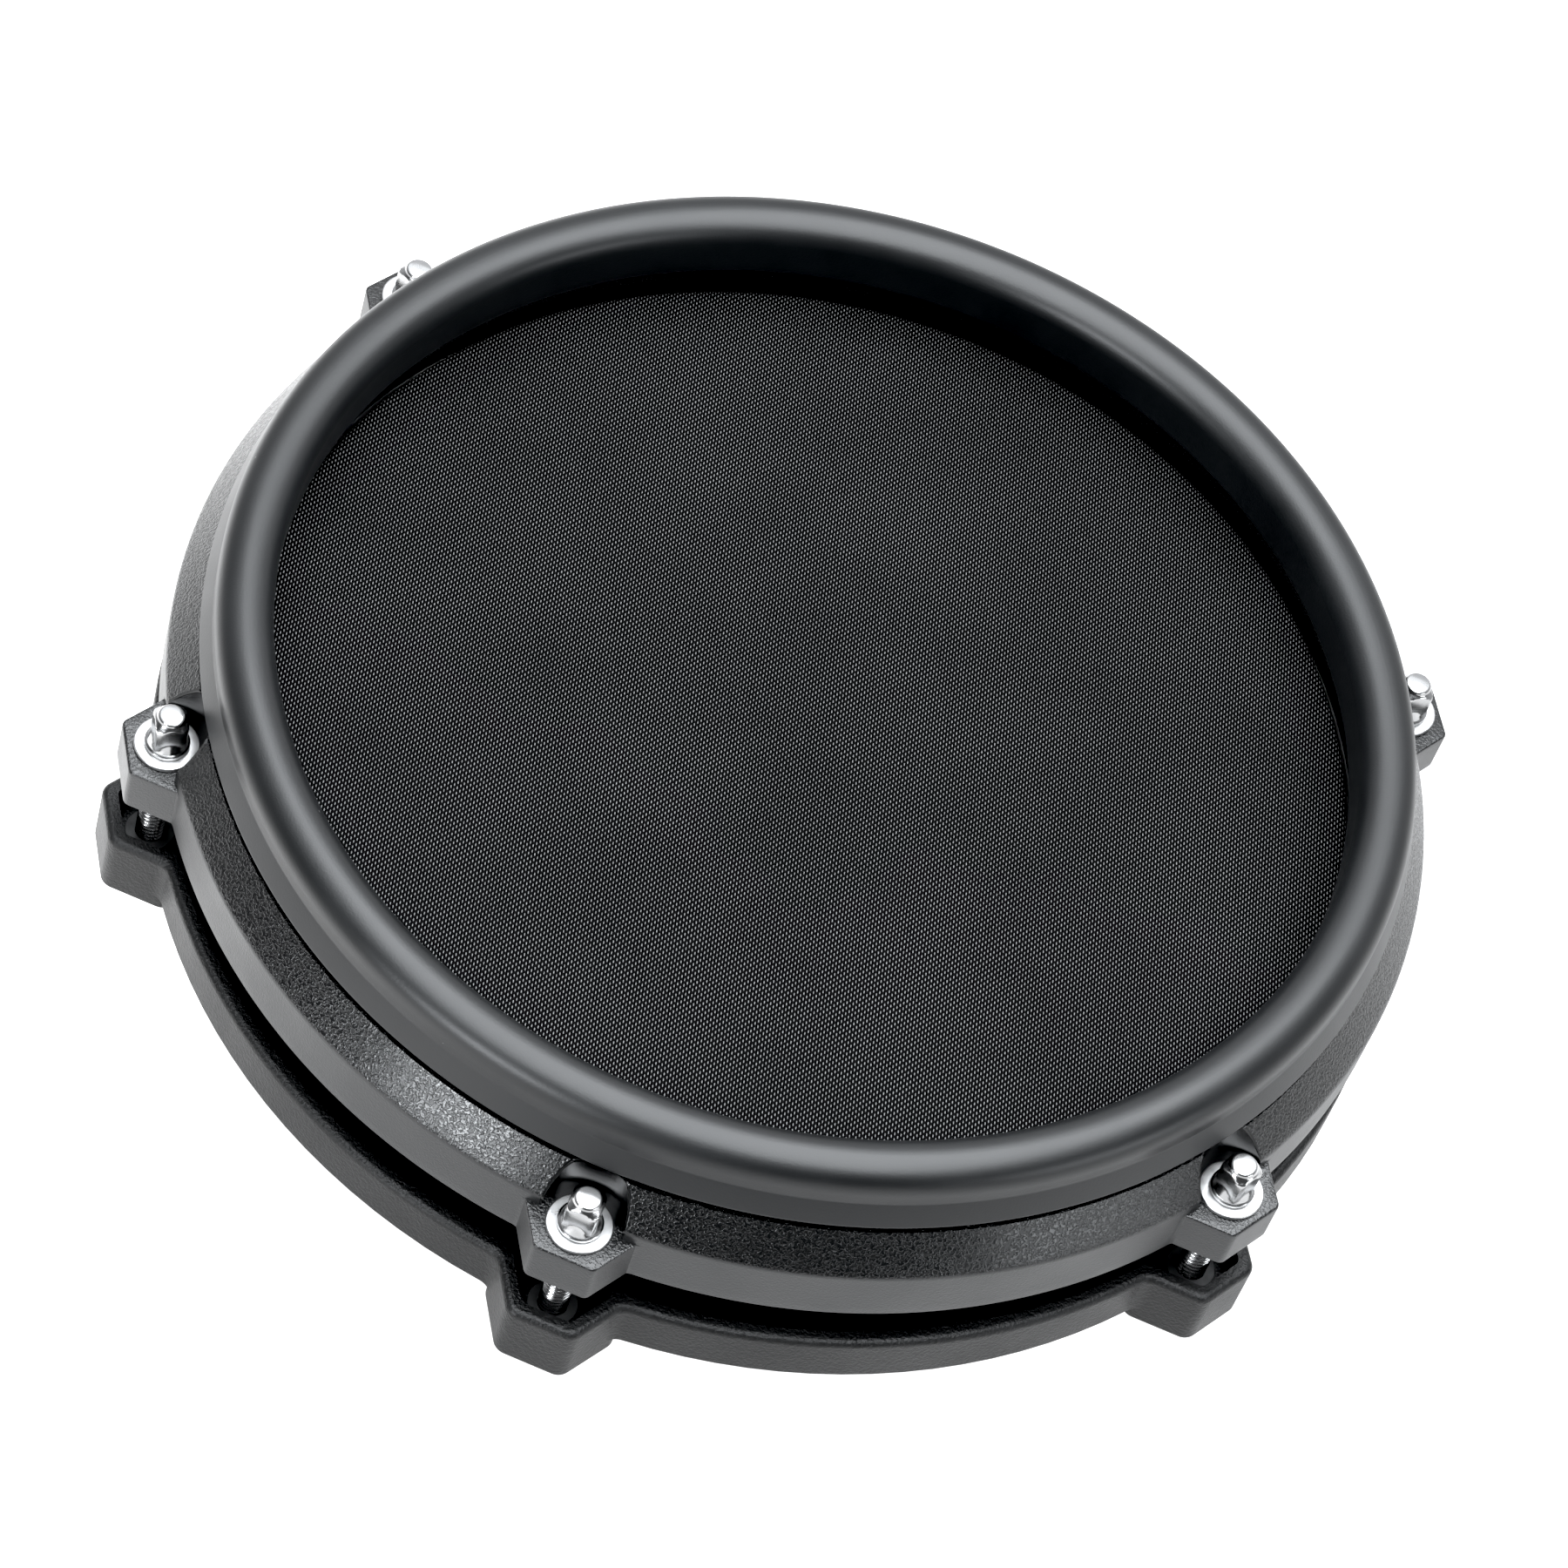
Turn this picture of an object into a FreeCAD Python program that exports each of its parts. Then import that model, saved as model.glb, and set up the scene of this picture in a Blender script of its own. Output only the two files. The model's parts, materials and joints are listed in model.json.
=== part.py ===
import FreeCAD, Part
import math
import os

from FreeCAD import Vector

os.makedirs("parts", exist_ok=True)

# An 8 inch electronic practice pad with a mesh head. Millimetres, +Z up, origin at the centre of the bottom.

# --- driving dimensions ---
WALL_R = 119.0            # outer radius of the hoop's wall and of the shell's flange
LEDGE_Z = 54.0            # top edge of the hoop's wall
HOOP_WALL = 12.2          # height of the hoop's vertical wall
SHOULDER_R = 113.9        # top of the sloping shoulder
SHOULDER_RISE = 8.6
LIP_R = 104.8             # inside of the hoop where it meets the mesh
LIP_TOP_R = 102.2         # inside of the hoop where the rubber starts
LIP_RISE = 8.0
SKIRT_R = 114.4           # bottom edge of the rubber rim
BEAD_OUT_R = 112.2        # widest part of the rubber's round top
BEAD_IN_R = 101.4         # the opening through which the head is struck
RIM_TOP = 75.5
UPSTAND_OUT_R = 111.3     # the hoop's wall inside the rubber
UPSTAND_IN_R = 104.7
UPSTAND_TOP = 70.5

LUGS = 6
LUG_R = 119.4             # circle of the tension rods
EAR_FLAT = 9.9            # centre of the ear's hexagon to its flats
EAR_FACE = 126.8          # radius of the ear's outer face
EAR_TOP = 51.7
EAR_CORNER = 1.5
POCKET_R = 7.5            # clearance for a drum key around the washer
LUG_FLAT = 10.9           # the shell's lug, a little larger than the ear
LUG_FACE = 128.2
LUG_BOTTOM = 16.5
LUG_CORNER = 3.0
LUG_BLEND = 3.5

FLANGE_BOTTOM = 20.3
SHELL_LIP = 30.9          # top of the shell's lip, under the gap
CHANNEL_Z = 24.0
CHANNEL_WALL = 2.8
COLLAR_OUT_R = 103.4      # drum collar that carries the mesh
COLLAR_IN_R = 100.6
BOWL_TOP_R = 99.0
BOWL_BOTTOM_R = 94.0
SHELL_T = 2.6
RING_GROOVES = (40.0, 70.0)
MESH_TOP = 54.0
MESH_T = 0.5
MESH_FLAT_R = 102.0
FLESH_IN_R = 106.6
FLESH_OUT_R = 111.4
FLESH_BOTTOM = 43.0
HOOP_FOOT = 48.5          # where the outer hoop bears on the head's own hoop

ROD_R = 2.75              # 12-24 tension rod, 5.5 mm over the thread
ROD_END = 19.5
WASHER_R = 6.0
WASHER_T = 0.9
HEAD_FLAT = 6.0           # square of the head, across flats
HEAD_TOP = 61.3
INSERT_R = 4.5
INSERT_TOP = 25.0
INSERT_BOTTOM = 18.5
RUNNING = 0.05            # radial clearance of a thread or a shaft in its hole

BRIDGE_Z = 30.0
BRIDGE_T = 1.5
BRIDGE_HALF = 62.0        # centre of the bridge's screws
BRIDGE_HALF_WIDTH = 20.0
HEAD_PIEZO_R = 17.5
RIM_PIEZO_R = 13.5
LEAD_R = 0.9
LEAD_BEND = 4.0
LEAD_FLOOR = 3.6          # height of a lead that lies on the shell's floor
CONE_R = 13.0

JACK_ANGLE = 150.0
JACK_Z = 10.6
JACK_FACE = 97.5
JACK_WALL = 3.0
JACK_BORE_R = 3.22

ROD_BORE_R = 4.85         # for a 9.5 mm L-rod
CLAMP_Z = 10.2
CLAMP_HALF = 15.0
CLAMP_BACK = 117.0        # mouth of the L-rod's bore
CLAMP_FRONT = 74.0
CLAMP_SCREW_X = 10.5
CLAMP_SCREW_Y = (80.0, 94.0)
BORE_DEPTH = 36.0
SCREW_Y = 108.0
SCREW_R = 3.0
SHOE_T = 2.4
SHOE_R = 4.0
SHOE_ROOM = 4.6           # depth of the shoe's pocket beyond the bore
KNOB_X = 20.0
NUT_FLAT = 10.0           # M6 nut, across flats
NUT_T = 5.0

Z_AXIS = Vector(0, 0, 1)
ORIGIN = Vector(0, 0, 0)


# --- shapes ---
def export(name, shape):
    """Write one named piece."""
    shape.exportStep("parts/%s.step" % name)


def rounded_wire(corners, to_point):
    """Closed wire through corners (u, v, radius), each corner rounded by its radius."""
    count = len(corners)
    starts = []
    ends = []
    edges = []
    for i in range(count):
        u, v, radius = corners[i]
        here = Vector(u, v, 0)
        before = Vector(corners[i - 1][0], corners[i - 1][1], 0)
        after = Vector(corners[(i + 1) % count][0], corners[(i + 1) % count][1], 0)
        back = (before - here).normalize()
        ahead = (after - here).normalize()
        if radius <= 0:
            starts.append(here)
            ends.append(here)
            continue
        half = back.getAngle(ahead) / 2.0
        reach = radius / math.tan(half)
        start = here + back * reach
        end = here + ahead * reach
        centre = here + (back + ahead).normalize() * (radius / math.sin(half))
        middle = centre + (here - centre).normalize() * radius
        starts.append(start)
        ends.append(end)
        arc = Part.Arc(to_point(start), to_point(middle), to_point(end))
        edges.append(arc.toShape())
    for i in range(count):
        a = ends[i]
        b = starts[(i + 1) % count]
        if (b - a).Length > 1e-6:
            edges.append(Part.LineSegment(to_point(a), to_point(b)).toShape())
    return Part.Wire(Part.sortEdges(edges)[0])


def revolved(corners):
    """Solid of revolution about Z from corners (radius, height, rounding)."""
    wire = rounded_wire(corners, lambda p: Vector(p.x, 0, p.y))
    return Part.Face(wire).revolve(ORIGIN, Z_AXIS, 360)


def prism(corners, low, high):
    """Upright prism of an outline of corners (x, y, rounding)."""
    wire = rounded_wire(corners, lambda p: Vector(p.x, p.y, 0))
    face = Part.Face(wire)
    face.translate(Vector(0, 0, low))
    return face.extrude(Vector(0, 0, high - low))


def hexagon(centre_r, flat, corner):
    """Corners of a hexagon with one flat facing outwards along +X."""
    size = flat / math.cos(math.radians(30))
    turns = [math.radians(30 + 60 * k) for k in range(6)]
    return [(centre_r + size * math.cos(a), size * math.sin(a), corner) for a in turns]


def post(x, y, radius, low, high):
    """Upright round post."""
    return Part.makeCylinder(radius, high - low, Vector(x, y, low))


def box(x0, x1, y0, y1, z0, z1):
    return Part.makeBox(x1 - x0, y1 - y0, z1 - z0, Vector(x0, y0, z0))


def turned(shape, degrees):
    """Copy of shape, turned about Z."""
    copy = shape.copy()
    copy.rotate(ORIGIN, Z_AXIS, degrees)
    return copy


def around(shape, count=LUGS):
    """Copies of shape, evenly spaced about Z."""
    return [turned(shape, 360.0 * k / count) for k in range(count)]


def rod_along(point, direction, radius, length):
    """Round bar from point along direction."""
    return Part.makeCylinder(radius, length, point, direction)


def hex_bar(point, direction, flat, length):
    """Hexagonal bar from point along direction, with flats across 2 x flat."""
    size = flat / math.cos(math.radians(30))
    turns = [math.radians(60 * k) for k in range(6)]
    ring = [Vector(size * math.cos(a), size * math.sin(a), 0) for a in turns]
    face = Part.Face(Part.makePolygon(ring + ring[:1]))
    bar = face.extrude(Vector(0, 0, length))
    bar.Placement = FreeCAD.Placement(point, FreeCAD.Rotation(Z_AXIS, direction))
    return bar


def lead(points, radius, bend):
    """Round lead along straight runs joined by tangent arcs."""
    edges = []
    here = points[0]
    for before, corner, after in zip(points, points[1:], points[2:]):
        back = (before - corner).normalize()
        ahead = (after - corner).normalize()
        half = back.getAngle(ahead) / 2.0
        reach = bend / math.tan(half)
        start = corner + back * reach
        end = corner + ahead * reach
        centre = corner + (back + ahead).normalize() * (bend / math.sin(half))
        middle = centre + (corner - centre).normalize() * bend
        edges.append(Part.LineSegment(here, start).toShape())
        edges.append(Part.Arc(start, middle, end).toShape())
        here = end
    edges.append(Part.LineSegment(here, points[-1]).toShape())
    path = Part.Wire(edges)
    section = Part.Wire(Part.makeCircle(radius, points[0], points[1] - points[0]))
    return path.makePipeShell([section], True, False)


def upright_edges(shape, radius, tolerance=0.6):
    """Straight upright edges of shape whose distance from the axis is radius."""
    found = []
    for edge in shape.Edges:
        a = edge.Vertexes[0].Point
        b = edge.Vertexes[-1].Point
        level = math.hypot(a.x - b.x, a.y - b.y) < 1e-4
        if level and abs(a.z - b.z) > 1 and abs(math.hypot(a.x, a.y) - radius) < tolerance:
            found.append(edge)
    return found


def level_edges(shape, height, least_radius):
    """Edges of shape that lie at a height, outside a radius."""
    found = []
    for edge in shape.Edges:
        bounds = edge.BoundBox
        middle = edge.valueAt((edge.FirstParameter + edge.LastParameter) / 2.0)
        flat = abs(bounds.ZMin - height) < 1e-3 and abs(bounds.ZMax - height) < 1e-3
        if flat and math.hypot(middle.x, middle.y) > least_radius:
            found.append(edge)
    return found


# --- shell ---
def shell_outer():
    """Flange disc with six lugs, blended into each other and rounded along the lip."""
    flange = Part.makeCylinder(WALL_R, SHELL_LIP - FLANGE_BOTTOM, Vector(0, 0, FLANGE_BOTTOM))
    lug = prism(hexagon(LUG_FACE - LUG_FLAT, LUG_FLAT, LUG_CORNER), FLANGE_BOTTOM, SHELL_LIP)
    body = flange.multiFuse(around(lug)).removeSplitter()
    body = body.makeFillet(LUG_BLEND, upright_edges(body, WALL_R))
    body = body.makeFillet(1.4, level_edges(body, SHELL_LIP, COLLAR_OUT_R))
    foot = prism(hexagon(LUG_FACE - LUG_FLAT, LUG_FLAT, LUG_CORNER), LUG_BOTTOM, FLANGE_BOTTOM)
    foot = foot.makeFillet(0.8, level_edges(foot, LUG_BOTTOM, 0))
    return body.multiFuse(around(foot))


def shell_channel():
    """The groove behind the lip that the hoop goes down into, opened out in each lug."""
    ring_r = WALL_R - CHANNEL_WALL
    ring = Part.makeCylinder(ring_r, 20, Vector(0, 0, CHANNEL_Z))
    flat = LUG_FLAT - CHANNEL_WALL
    pocket = prism(hexagon(LUG_FACE - LUG_FLAT, flat, 1.6), CHANNEL_Z, CHANNEL_Z + 20)
    return ring.multiFuse(around(pocket)).removeSplitter()


def base_shell():
    """Bowl, flange, lugs, bosses and the recess for the rod clamp."""
    bowl = revolved([(0, 0, 0), (BOWL_BOTTOM_R, 0, 3.0), (BOWL_TOP_R, FLANGE_BOTTOM, 0),
                     (BOWL_TOP_R, CHANNEL_Z, 0), (0, CHANNEL_Z, 0)])
    flange = shell_outer().cut(shell_channel())
    body = bowl.fuse(flange)
    hollow = revolved([(0, SHELL_T, 0), (BOWL_BOTTOM_R - 3.2, SHELL_T, 3.0),
                       (BOWL_TOP_R - 3.0, CHANNEL_Z - 3.5, 0), (COLLAR_IN_R, CHANNEL_Z + 2, 0),
                       (COLLAR_IN_R, MESH_TOP + 1, 0), (0, MESH_TOP + 1, 0)])
    body = body.cut(hollow)
    # recess under the flange for the clamp, closed inside by its own walls
    recess_in = CLAMP_FRONT - 1.0
    side = CLAMP_HALF + 0.3
    tunnel = box(-side - 2.5, side + 2.5, recess_in - 2.5, 97, 0, FLANGE_BOTTOM + 2.0)
    body = body.fuse(tunnel.common(Part.makeCylinder(96, 60)))
    body = body.cut(box(-side, side, recess_in, 130, -1, FLANGE_BOTTOM - 0.3))
    # bosses: rod inserts, sensor bridge
    boss = post(LUG_R, 0, INSERT_R + 2.0, CHANNEL_Z - 2, INSERT_TOP)
    bridge_bosses = [post(s * BRIDGE_HALF, 0, 5.0, SHELL_T - 1, BRIDGE_Z) for s in (-1, 1)]
    body = body.multiFuse(around(boss) + bridge_bosses)
    cuts = around(post(LUG_R, 0, INSERT_R, INSERT_BOTTOM, INSERT_TOP + 1))
    cuts += around(post(LUG_R, 0, ROD_R + 0.5, LUG_BOTTOM - 1, INSERT_BOTTOM + 1))
    cuts += [post(s * BRIDGE_HALF, 0, 1.5, 10, BRIDGE_Z + 1) for s in (-1, 1)]
    cuts += [post(x, y, 1.5, 15, FLANGE_BOTTOM + 1.7) for x, y in clamp_screw_places()]
    # two shallow moulded rings underneath
    for inner in RING_GROOVES:
        cuts.append(revolved([(inner, -1, 0), (inner + 3, -1, 0),
                              (inner + 2.4, 0.6, 0.3), (inner + 0.6, 0.6, 0.3)]))
    body = body.fuse(jack_pad()).cut(Part.makeCompound(cuts))
    return body.cut(jack_holes()).removeSplitter()


def jack_pad():
    """Flat upright pad on the bowl's wall for the socket."""
    pad = box(JACK_FACE - 8, JACK_FACE, -12, 12, 0.8, FLANGE_BOTTOM + 0.5)
    return turned(pad, JACK_ANGLE)


def jack_holes():
    """Hole for the socket's sleeve, the flat seat around it and the flat pocket behind it."""
    sleeve = rod_along(Vector(80, 0, JACK_Z), Vector(1, 0, 0), 4.9, 30)
    seat = box(JACK_FACE, JACK_FACE + 10, -10.5, 10.5, 1.6, FLANGE_BOTTOM - 0.4)
    pocket = box(JACK_FACE - 20, JACK_FACE - JACK_WALL, -9.5, 9.5, SHELL_T, FLANGE_BOTTOM + 1)
    return turned(sleeve.multiFuse([seat, pocket]), JACK_ANGLE)


def drum_collar():
    """Ring that stands in the shell and carries the mesh over its rounded top."""
    top = MESH_TOP - MESH_T
    return revolved([(COLLAR_IN_R, CHANNEL_Z, 0), (COLLAR_OUT_R + 1, CHANNEL_Z, 0),
                     (COLLAR_OUT_R, CHANNEL_Z + 4, 0), (COLLAR_OUT_R, top, 1.3), (COLLAR_IN_R, top, 1.3)])


def threaded_inserts():
    insert = post(LUG_R, 0, INSERT_R - 0.02, INSERT_BOTTOM, INSERT_TOP)
    insert = insert.cut(post(LUG_R, 0, ROD_R + RUNNING, INSERT_BOTTOM - 1, INSERT_TOP + 1))
    return Part.makeCompound(around(insert))


# --- hoop ---
def top_hoop():
    """Hoop with its shoulder and six ears, pocketed for the rods."""
    low = LEDGE_Z - HOOP_WALL
    seat = LEDGE_Z + SHOULDER_RISE
    ring = revolved([(WALL_R, low, 0.7), (WALL_R, LEDGE_Z, 0.6), (SHOULDER_R, seat, 0.4),
                     (UPSTAND_OUT_R, seat, 0), (UPSTAND_OUT_R, UPSTAND_TOP, 1.0),
                     (UPSTAND_IN_R, UPSTAND_TOP, 1.0), (UPSTAND_IN_R, LEDGE_Z + LIP_RISE, 0),
                     (LIP_TOP_R, LEDGE_Z + LIP_RISE, 0.5), (LIP_R, LEDGE_Z - 0.6, 0.6),
                     (LIP_R + 1.5, LEDGE_Z - 0.6, 0), (LIP_R + 1.7, HOOP_FOOT, 0.4),
                     (111.6, HOOP_FOOT, 0.4), (112.0, 57.2, 0.8), (115.4, 55.4, 0.8),
                     (116.2, low, 0.5)])
    ear = prism(hexagon(EAR_FACE - EAR_FLAT, EAR_FLAT, EAR_CORNER), low, EAR_TOP)
    ear = ear.makeFillet(0.5, level_edges(ear, EAR_TOP, 0) + level_edges(ear, low, 0))
    keep_out = Part.makeCylinder(113.0, 40, Vector(0, 0, 30))
    ear = ear.cut(keep_out)
    body = ring.multiFuse(around(ear))
    pocket = around(post(LUG_R, 0, POCKET_R, EAR_TOP, UPSTAND_TOP))
    hole = around(post(LUG_R, 0, ROD_R + 0.35, low - 1, EAR_TOP + 1))
    wall = Part.makeCylinder(UPSTAND_OUT_R, 40, Vector(0, 0, 40))
    pockets = [p.cut(wall) for p in pocket]
    return body.cut(Part.makeCompound(pockets)).cut(Part.makeCompound(hole)).removeSplitter()


def rubber_rim():
    """Soft rim: a cap over the hoop's upstand with a round top and a flared skirt."""
    seat = LEDGE_Z + SHOULDER_RISE
    foot = LEDGE_Z + LIP_RISE
    return revolved([(UPSTAND_OUT_R, seat, 0), (SKIRT_R, seat, 0.7), (BEAD_OUT_R, 68.0, 1.2),
                     (BEAD_OUT_R, RIM_TOP, 5.35), (BEAD_IN_R, RIM_TOP, 5.35),
                     (BEAD_IN_R + 0.2, foot, 0.8), (UPSTAND_IN_R, foot, 0),
                     (UPSTAND_IN_R, UPSTAND_TOP, 1.0), (UPSTAND_OUT_R, UPSTAND_TOP, 1.0)])


def flesh_hoop():
    """The head's own hoop, which the outer hoop presses down."""
    return revolved([(FLESH_IN_R, FLESH_BOTTOM, 0.8), (FLESH_OUT_R, FLESH_BOTTOM, 0.8),
                     (FLESH_OUT_R, HOOP_FOOT, 0.8), (FLESH_IN_R, HOOP_FOOT, 0.8)])


def mesh_head():
    """The flat of the woven head."""
    return Part.makeCylinder(MESH_FLAT_R, MESH_T, Vector(0, 0, MESH_TOP - MESH_T))


def mesh_edge():
    """The woven head's edge, rolled over the collar and drawn down to the head's own hoop."""
    under = MESH_TOP - MESH_T
    return revolved([(MESH_FLAT_R, under, 0), (103.7, under, 1.5), (103.9, 49.2, 2.0), (106.0, 45.6, 0),
                     (106.5, 45.8, 0), (104.4, 49.4, 2.0), (104.2, MESH_TOP, 2.0), (MESH_FLAT_R, MESH_TOP, 0)])


# --- tension rods ---
def tension_rod():
    """Threaded shank, round collar flared into a square head with a rounded tip."""
    seat = EAR_TOP + WASHER_T
    turned_part = revolved([(0, ROD_END, 0), (ROD_R - 0.5, ROD_END, 0), (ROD_R, ROD_END + 0.8, 0),
                            (ROD_R, seat, 0), (4.15, seat, 0.3), (4.15, seat + 1.1, 0.4),
                            (3.0, seat + 3.6, 0), (2.0, seat + 4.0, 0), (0, seat + 4.0, 0)])
    half = HEAD_FLAT / 2.0
    square = box(-half, half, -half, half, seat + 1.0, HEAD_TOP)
    trim = revolved([(0, seat + 1.0, 0), (3.85, seat + 1.0, 0), (3.85, HEAD_TOP - 1.7, 0.6),
                     (2.5, HEAD_TOP, 0.5), (0, HEAD_TOP, 0)])
    rod = turned_part.fuse(square.common(trim)).removeSplitter()
    rod.translate(Vector(LUG_R, 0, 0))
    return rod


def rod_washer():
    top = EAR_TOP + WASHER_T
    inner = ROD_R + 0.3
    washer = revolved([(inner, EAR_TOP, 0), (WASHER_R, EAR_TOP, 0.15), (WASHER_R, top, 0.3), (inner, top, 0.2)])
    washer.translate(Vector(LUG_R, 0, 0))
    return washer


# --- sensors ---
def sensor_bridge():
    end = BRIDGE_HALF + 9
    plate = prism([(-end, -BRIDGE_HALF_WIDTH, 8), (end, -BRIDGE_HALF_WIDTH, 8),
                   (end, BRIDGE_HALF_WIDTH, 8), (-end, BRIDGE_HALF_WIDTH, 8)], BRIDGE_Z, BRIDGE_Z + BRIDGE_T)
    holes = [post(s * BRIDGE_HALF, 0, 1.9, BRIDGE_Z - 1, BRIDGE_Z + 3) for s in (-1, 1)]
    return plate.cut(Part.makeCompound(holes))


def pan_screw(x, y, seat, shank_r, length, head_r, head_h):
    """Screw driven downwards, its round head standing on seat."""
    screw = revolved([(0, seat - length, 0), (shank_r, seat - length, 0.3), (shank_r, seat, 0),
                      (head_r, seat, 0), (head_r, seat + head_h, head_h * 0.6), (0, seat + head_h, 0)])
    screw.translate(Vector(x, y, 0))
    slot_z = seat + head_h - 0.9
    cross = box(x - head_r * 0.6, x + head_r * 0.6, y - 0.4, y + 0.4, slot_z, seat + head_h + 1)
    cross = cross.fuse(box(x - 0.4, x + 0.4, y - head_r * 0.6, y + head_r * 0.6, slot_z, seat + head_h + 1))
    return screw.cut(cross)


def bridge_screws():
    seat = BRIDGE_Z + BRIDGE_T
    return Part.makeCompound([pan_screw(s * BRIDGE_HALF, 0, seat, 1.5, 12.0, 3.2, 2.2) for s in (-1, 1)])


def disc(radius, low, high, edge, x=0.0, y=0.0):
    """Round disc with softened edges."""
    shape = revolved([(0, low, 0), (radius, low, edge), (radius, high, edge), (0, high, 0)])
    shape.translate(Vector(x, y, 0))
    return shape


def trigger_cone(low):
    """Foam cone that carries the mesh's movement to the sensor."""
    high = MESH_TOP - MESH_T - 0.1
    return revolved([(0, low, 0), (CONE_R, low, 0.8), (CONE_R, low + 2.5, 0.8), (6.0, high, 1.5), (0, high, 0)])


# --- socket ---
def on_jack(shape):
    """Move a piece drawn along +X at the origin to the socket's place."""
    copy = shape.copy()
    copy.translate(Vector(0, 0, JACK_Z))
    return turned(copy, JACK_ANGLE)


def jack_body():
    back = JACK_FACE - JACK_WALL
    sleeve = rod_along(Vector(back - 1, 0, 0), Vector(1, 0, 0), 4.75, JACK_WALL + 5.3)
    case = prism([(back - 24, -8, 1.2), (back - 0.1, -8, 1.2),
                  (back - 0.1, 8, 1.2), (back - 24, 8, 1.2)], -7.4, 8.4)
    bore = rod_along(Vector(back - 18, 0, 0), Vector(1, 0, 0), JACK_BORE_R, 40)
    return on_jack(case.fuse(sleeve).cut(bore).removeSplitter())


def jack_terminals():
    """Three solder tags on the back of the socket."""
    back = JACK_FACE - JACK_WALL - 24
    tags = [box(back - 4, back, y - 1.0, y + 1.0, 0.1, 0.7) for y in (-5, 0, 5)]
    return Part.makeCompound([on_jack(tag) for tag in tags])


def jack_washer():
    face = JACK_FACE
    ring = rod_along(Vector(face, 0, 0), Vector(1, 0, 0), 7.2, 0.8)
    return on_jack(ring.cut(rod_along(Vector(face - 1, 0, 0), Vector(1, 0, 0), 4.85, 3)))


def jack_nut():
    face = JACK_FACE + 0.8
    nut = hex_bar(Vector(face, 0, 0), Vector(1, 0, 0), 6.5, 2.6)
    ball = Part.makeCone(8.6, 6.6, 3.6, Vector(face - 0.6, 0, 0), Vector(1, 0, 0))
    return on_jack(nut.common(ball).cut(rod_along(Vector(face - 1, 0, 0), Vector(1, 0, 0), 4.8, 9)))


def behind_terminal(y, distance, height):
    """Point behind one of the socket's solder tags."""
    point = Vector(JACK_FACE - JACK_WALL - 28.2 - distance, y, height)
    return FreeCAD.Rotation(Z_AXIS, JACK_ANGLE).multVec(point)


def lead_end(y):
    """A lead's last points: along the floor, up and onto its solder tag."""
    tag_z = JACK_Z + 0.4
    return [behind_terminal(y, 17, LEAD_FLOOR), behind_terminal(y, 8, tag_z), behind_terminal(y, 0, tag_z)]


def head_sensor_lead(top):
    """From the head's sensor over the bridge's edge and down to the floor."""
    start = [Vector(-15.0, 4, top + 1.0), Vector(-23, 26, top + 1.0), Vector(-29, 34, LEAD_FLOOR)]
    return lead(start + lead_end(-5), LEAD_R, LEAD_BEND)


def rim_sensor_lead(top):
    """From the rim's sensor along the floor."""
    start = [Vector(-7, -62, top + 1.0), Vector(-18, -56, top + 1.0),
             Vector(-30, -46, LEAD_FLOOR), Vector(-44, -10, LEAD_FLOOR)]
    return lead(start + lead_end(5), LEAD_R, LEAD_BEND)


# --- rod clamp ---
def clamp_housing():
    """Block in the shell's recess that takes a stand's L-rod from behind."""
    half = CLAMP_HALF
    body = prism([(-half, CLAMP_FRONT, 2.0), (half, CLAMP_FRONT, 2.0), (half, CLAMP_BACK, 2.5),
                  (-half, CLAMP_BACK, 2.5)], 0.5, FLANGE_BOTTOM - 0.5)
    mouth = Vector(0, CLAMP_BACK, CLAMP_Z)
    inwards = Vector(0, -1, 0)
    cuts = [rod_along(mouth, inwards, ROD_BORE_R, BORE_DEPTH)]
    cuts.append(Part.makeCone(ROD_BORE_R + 1.0, ROD_BORE_R, 1.0, mouth, inwards))
    side = Vector(1, 0, 0)
    cuts.append(rod_along(Vector(0, SCREW_Y, CLAMP_Z), side, SCREW_R + 0.3, 30))
    cuts.append(rod_along(Vector(0, SCREW_Y, CLAMP_Z), side, SHOE_R + 0.1, ROD_BORE_R + SHOE_ROOM))
    nut_x = half - NUT_T - 0.4
    cuts.append(hex_bar(Vector(nut_x, SCREW_Y, CLAMP_Z), side, NUT_FLAT / 2.0, NUT_T + 10))
    for x, y in clamp_screw_places():
        cuts.append(post(x, y, 1.8, 0, 30))
        cuts.append(post(x, y, 3.4, 0, 3.2))
    for cut in cuts:
        body = body.cut(cut)
    return body


def clamp_screw_places():
    return [(x, y) for x in (-CLAMP_SCREW_X, CLAMP_SCREW_X) for y in CLAMP_SCREW_Y]


def clamp_housing_screws():
    """Screws that hold the clamp in the recess, their heads below."""
    screws = []
    for x, y in clamp_screw_places():
        screw = pan_screw(x, y, 0, 1.5, 18.6, 3.1, 2.0)
        screw.rotate(Vector(x, y, 0), Vector(1, 0, 0), 180)
        screw.translate(Vector(0, 0, 3.2))
        screws.append(screw)
    return Part.makeCompound(screws)


def clamp_nut():
    side = Vector(1, 0, 0)
    start = Vector(CLAMP_HALF - NUT_T - 0.4, SCREW_Y, CLAMP_Z)
    nut = hex_bar(start, side, NUT_FLAT / 2.0 - 0.02, NUT_T)
    return nut.cut(rod_along(start - side, side, SCREW_R + RUNNING, NUT_T + 2))


def clamp_shoe():
    """Round pad that the screw drives against the rod, hollowed to the rod's curve."""
    side = Vector(1, 0, 0)
    shoe = rod_along(Vector(ROD_BORE_R - 1.2, SCREW_Y, CLAMP_Z), side, SHOE_R, SHOE_T + 1.2)
    rod = rod_along(Vector(0, 0, CLAMP_Z), Vector(0, 1, 0), ROD_BORE_R + 0.1, 200)
    return shoe.cut(rod)


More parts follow.
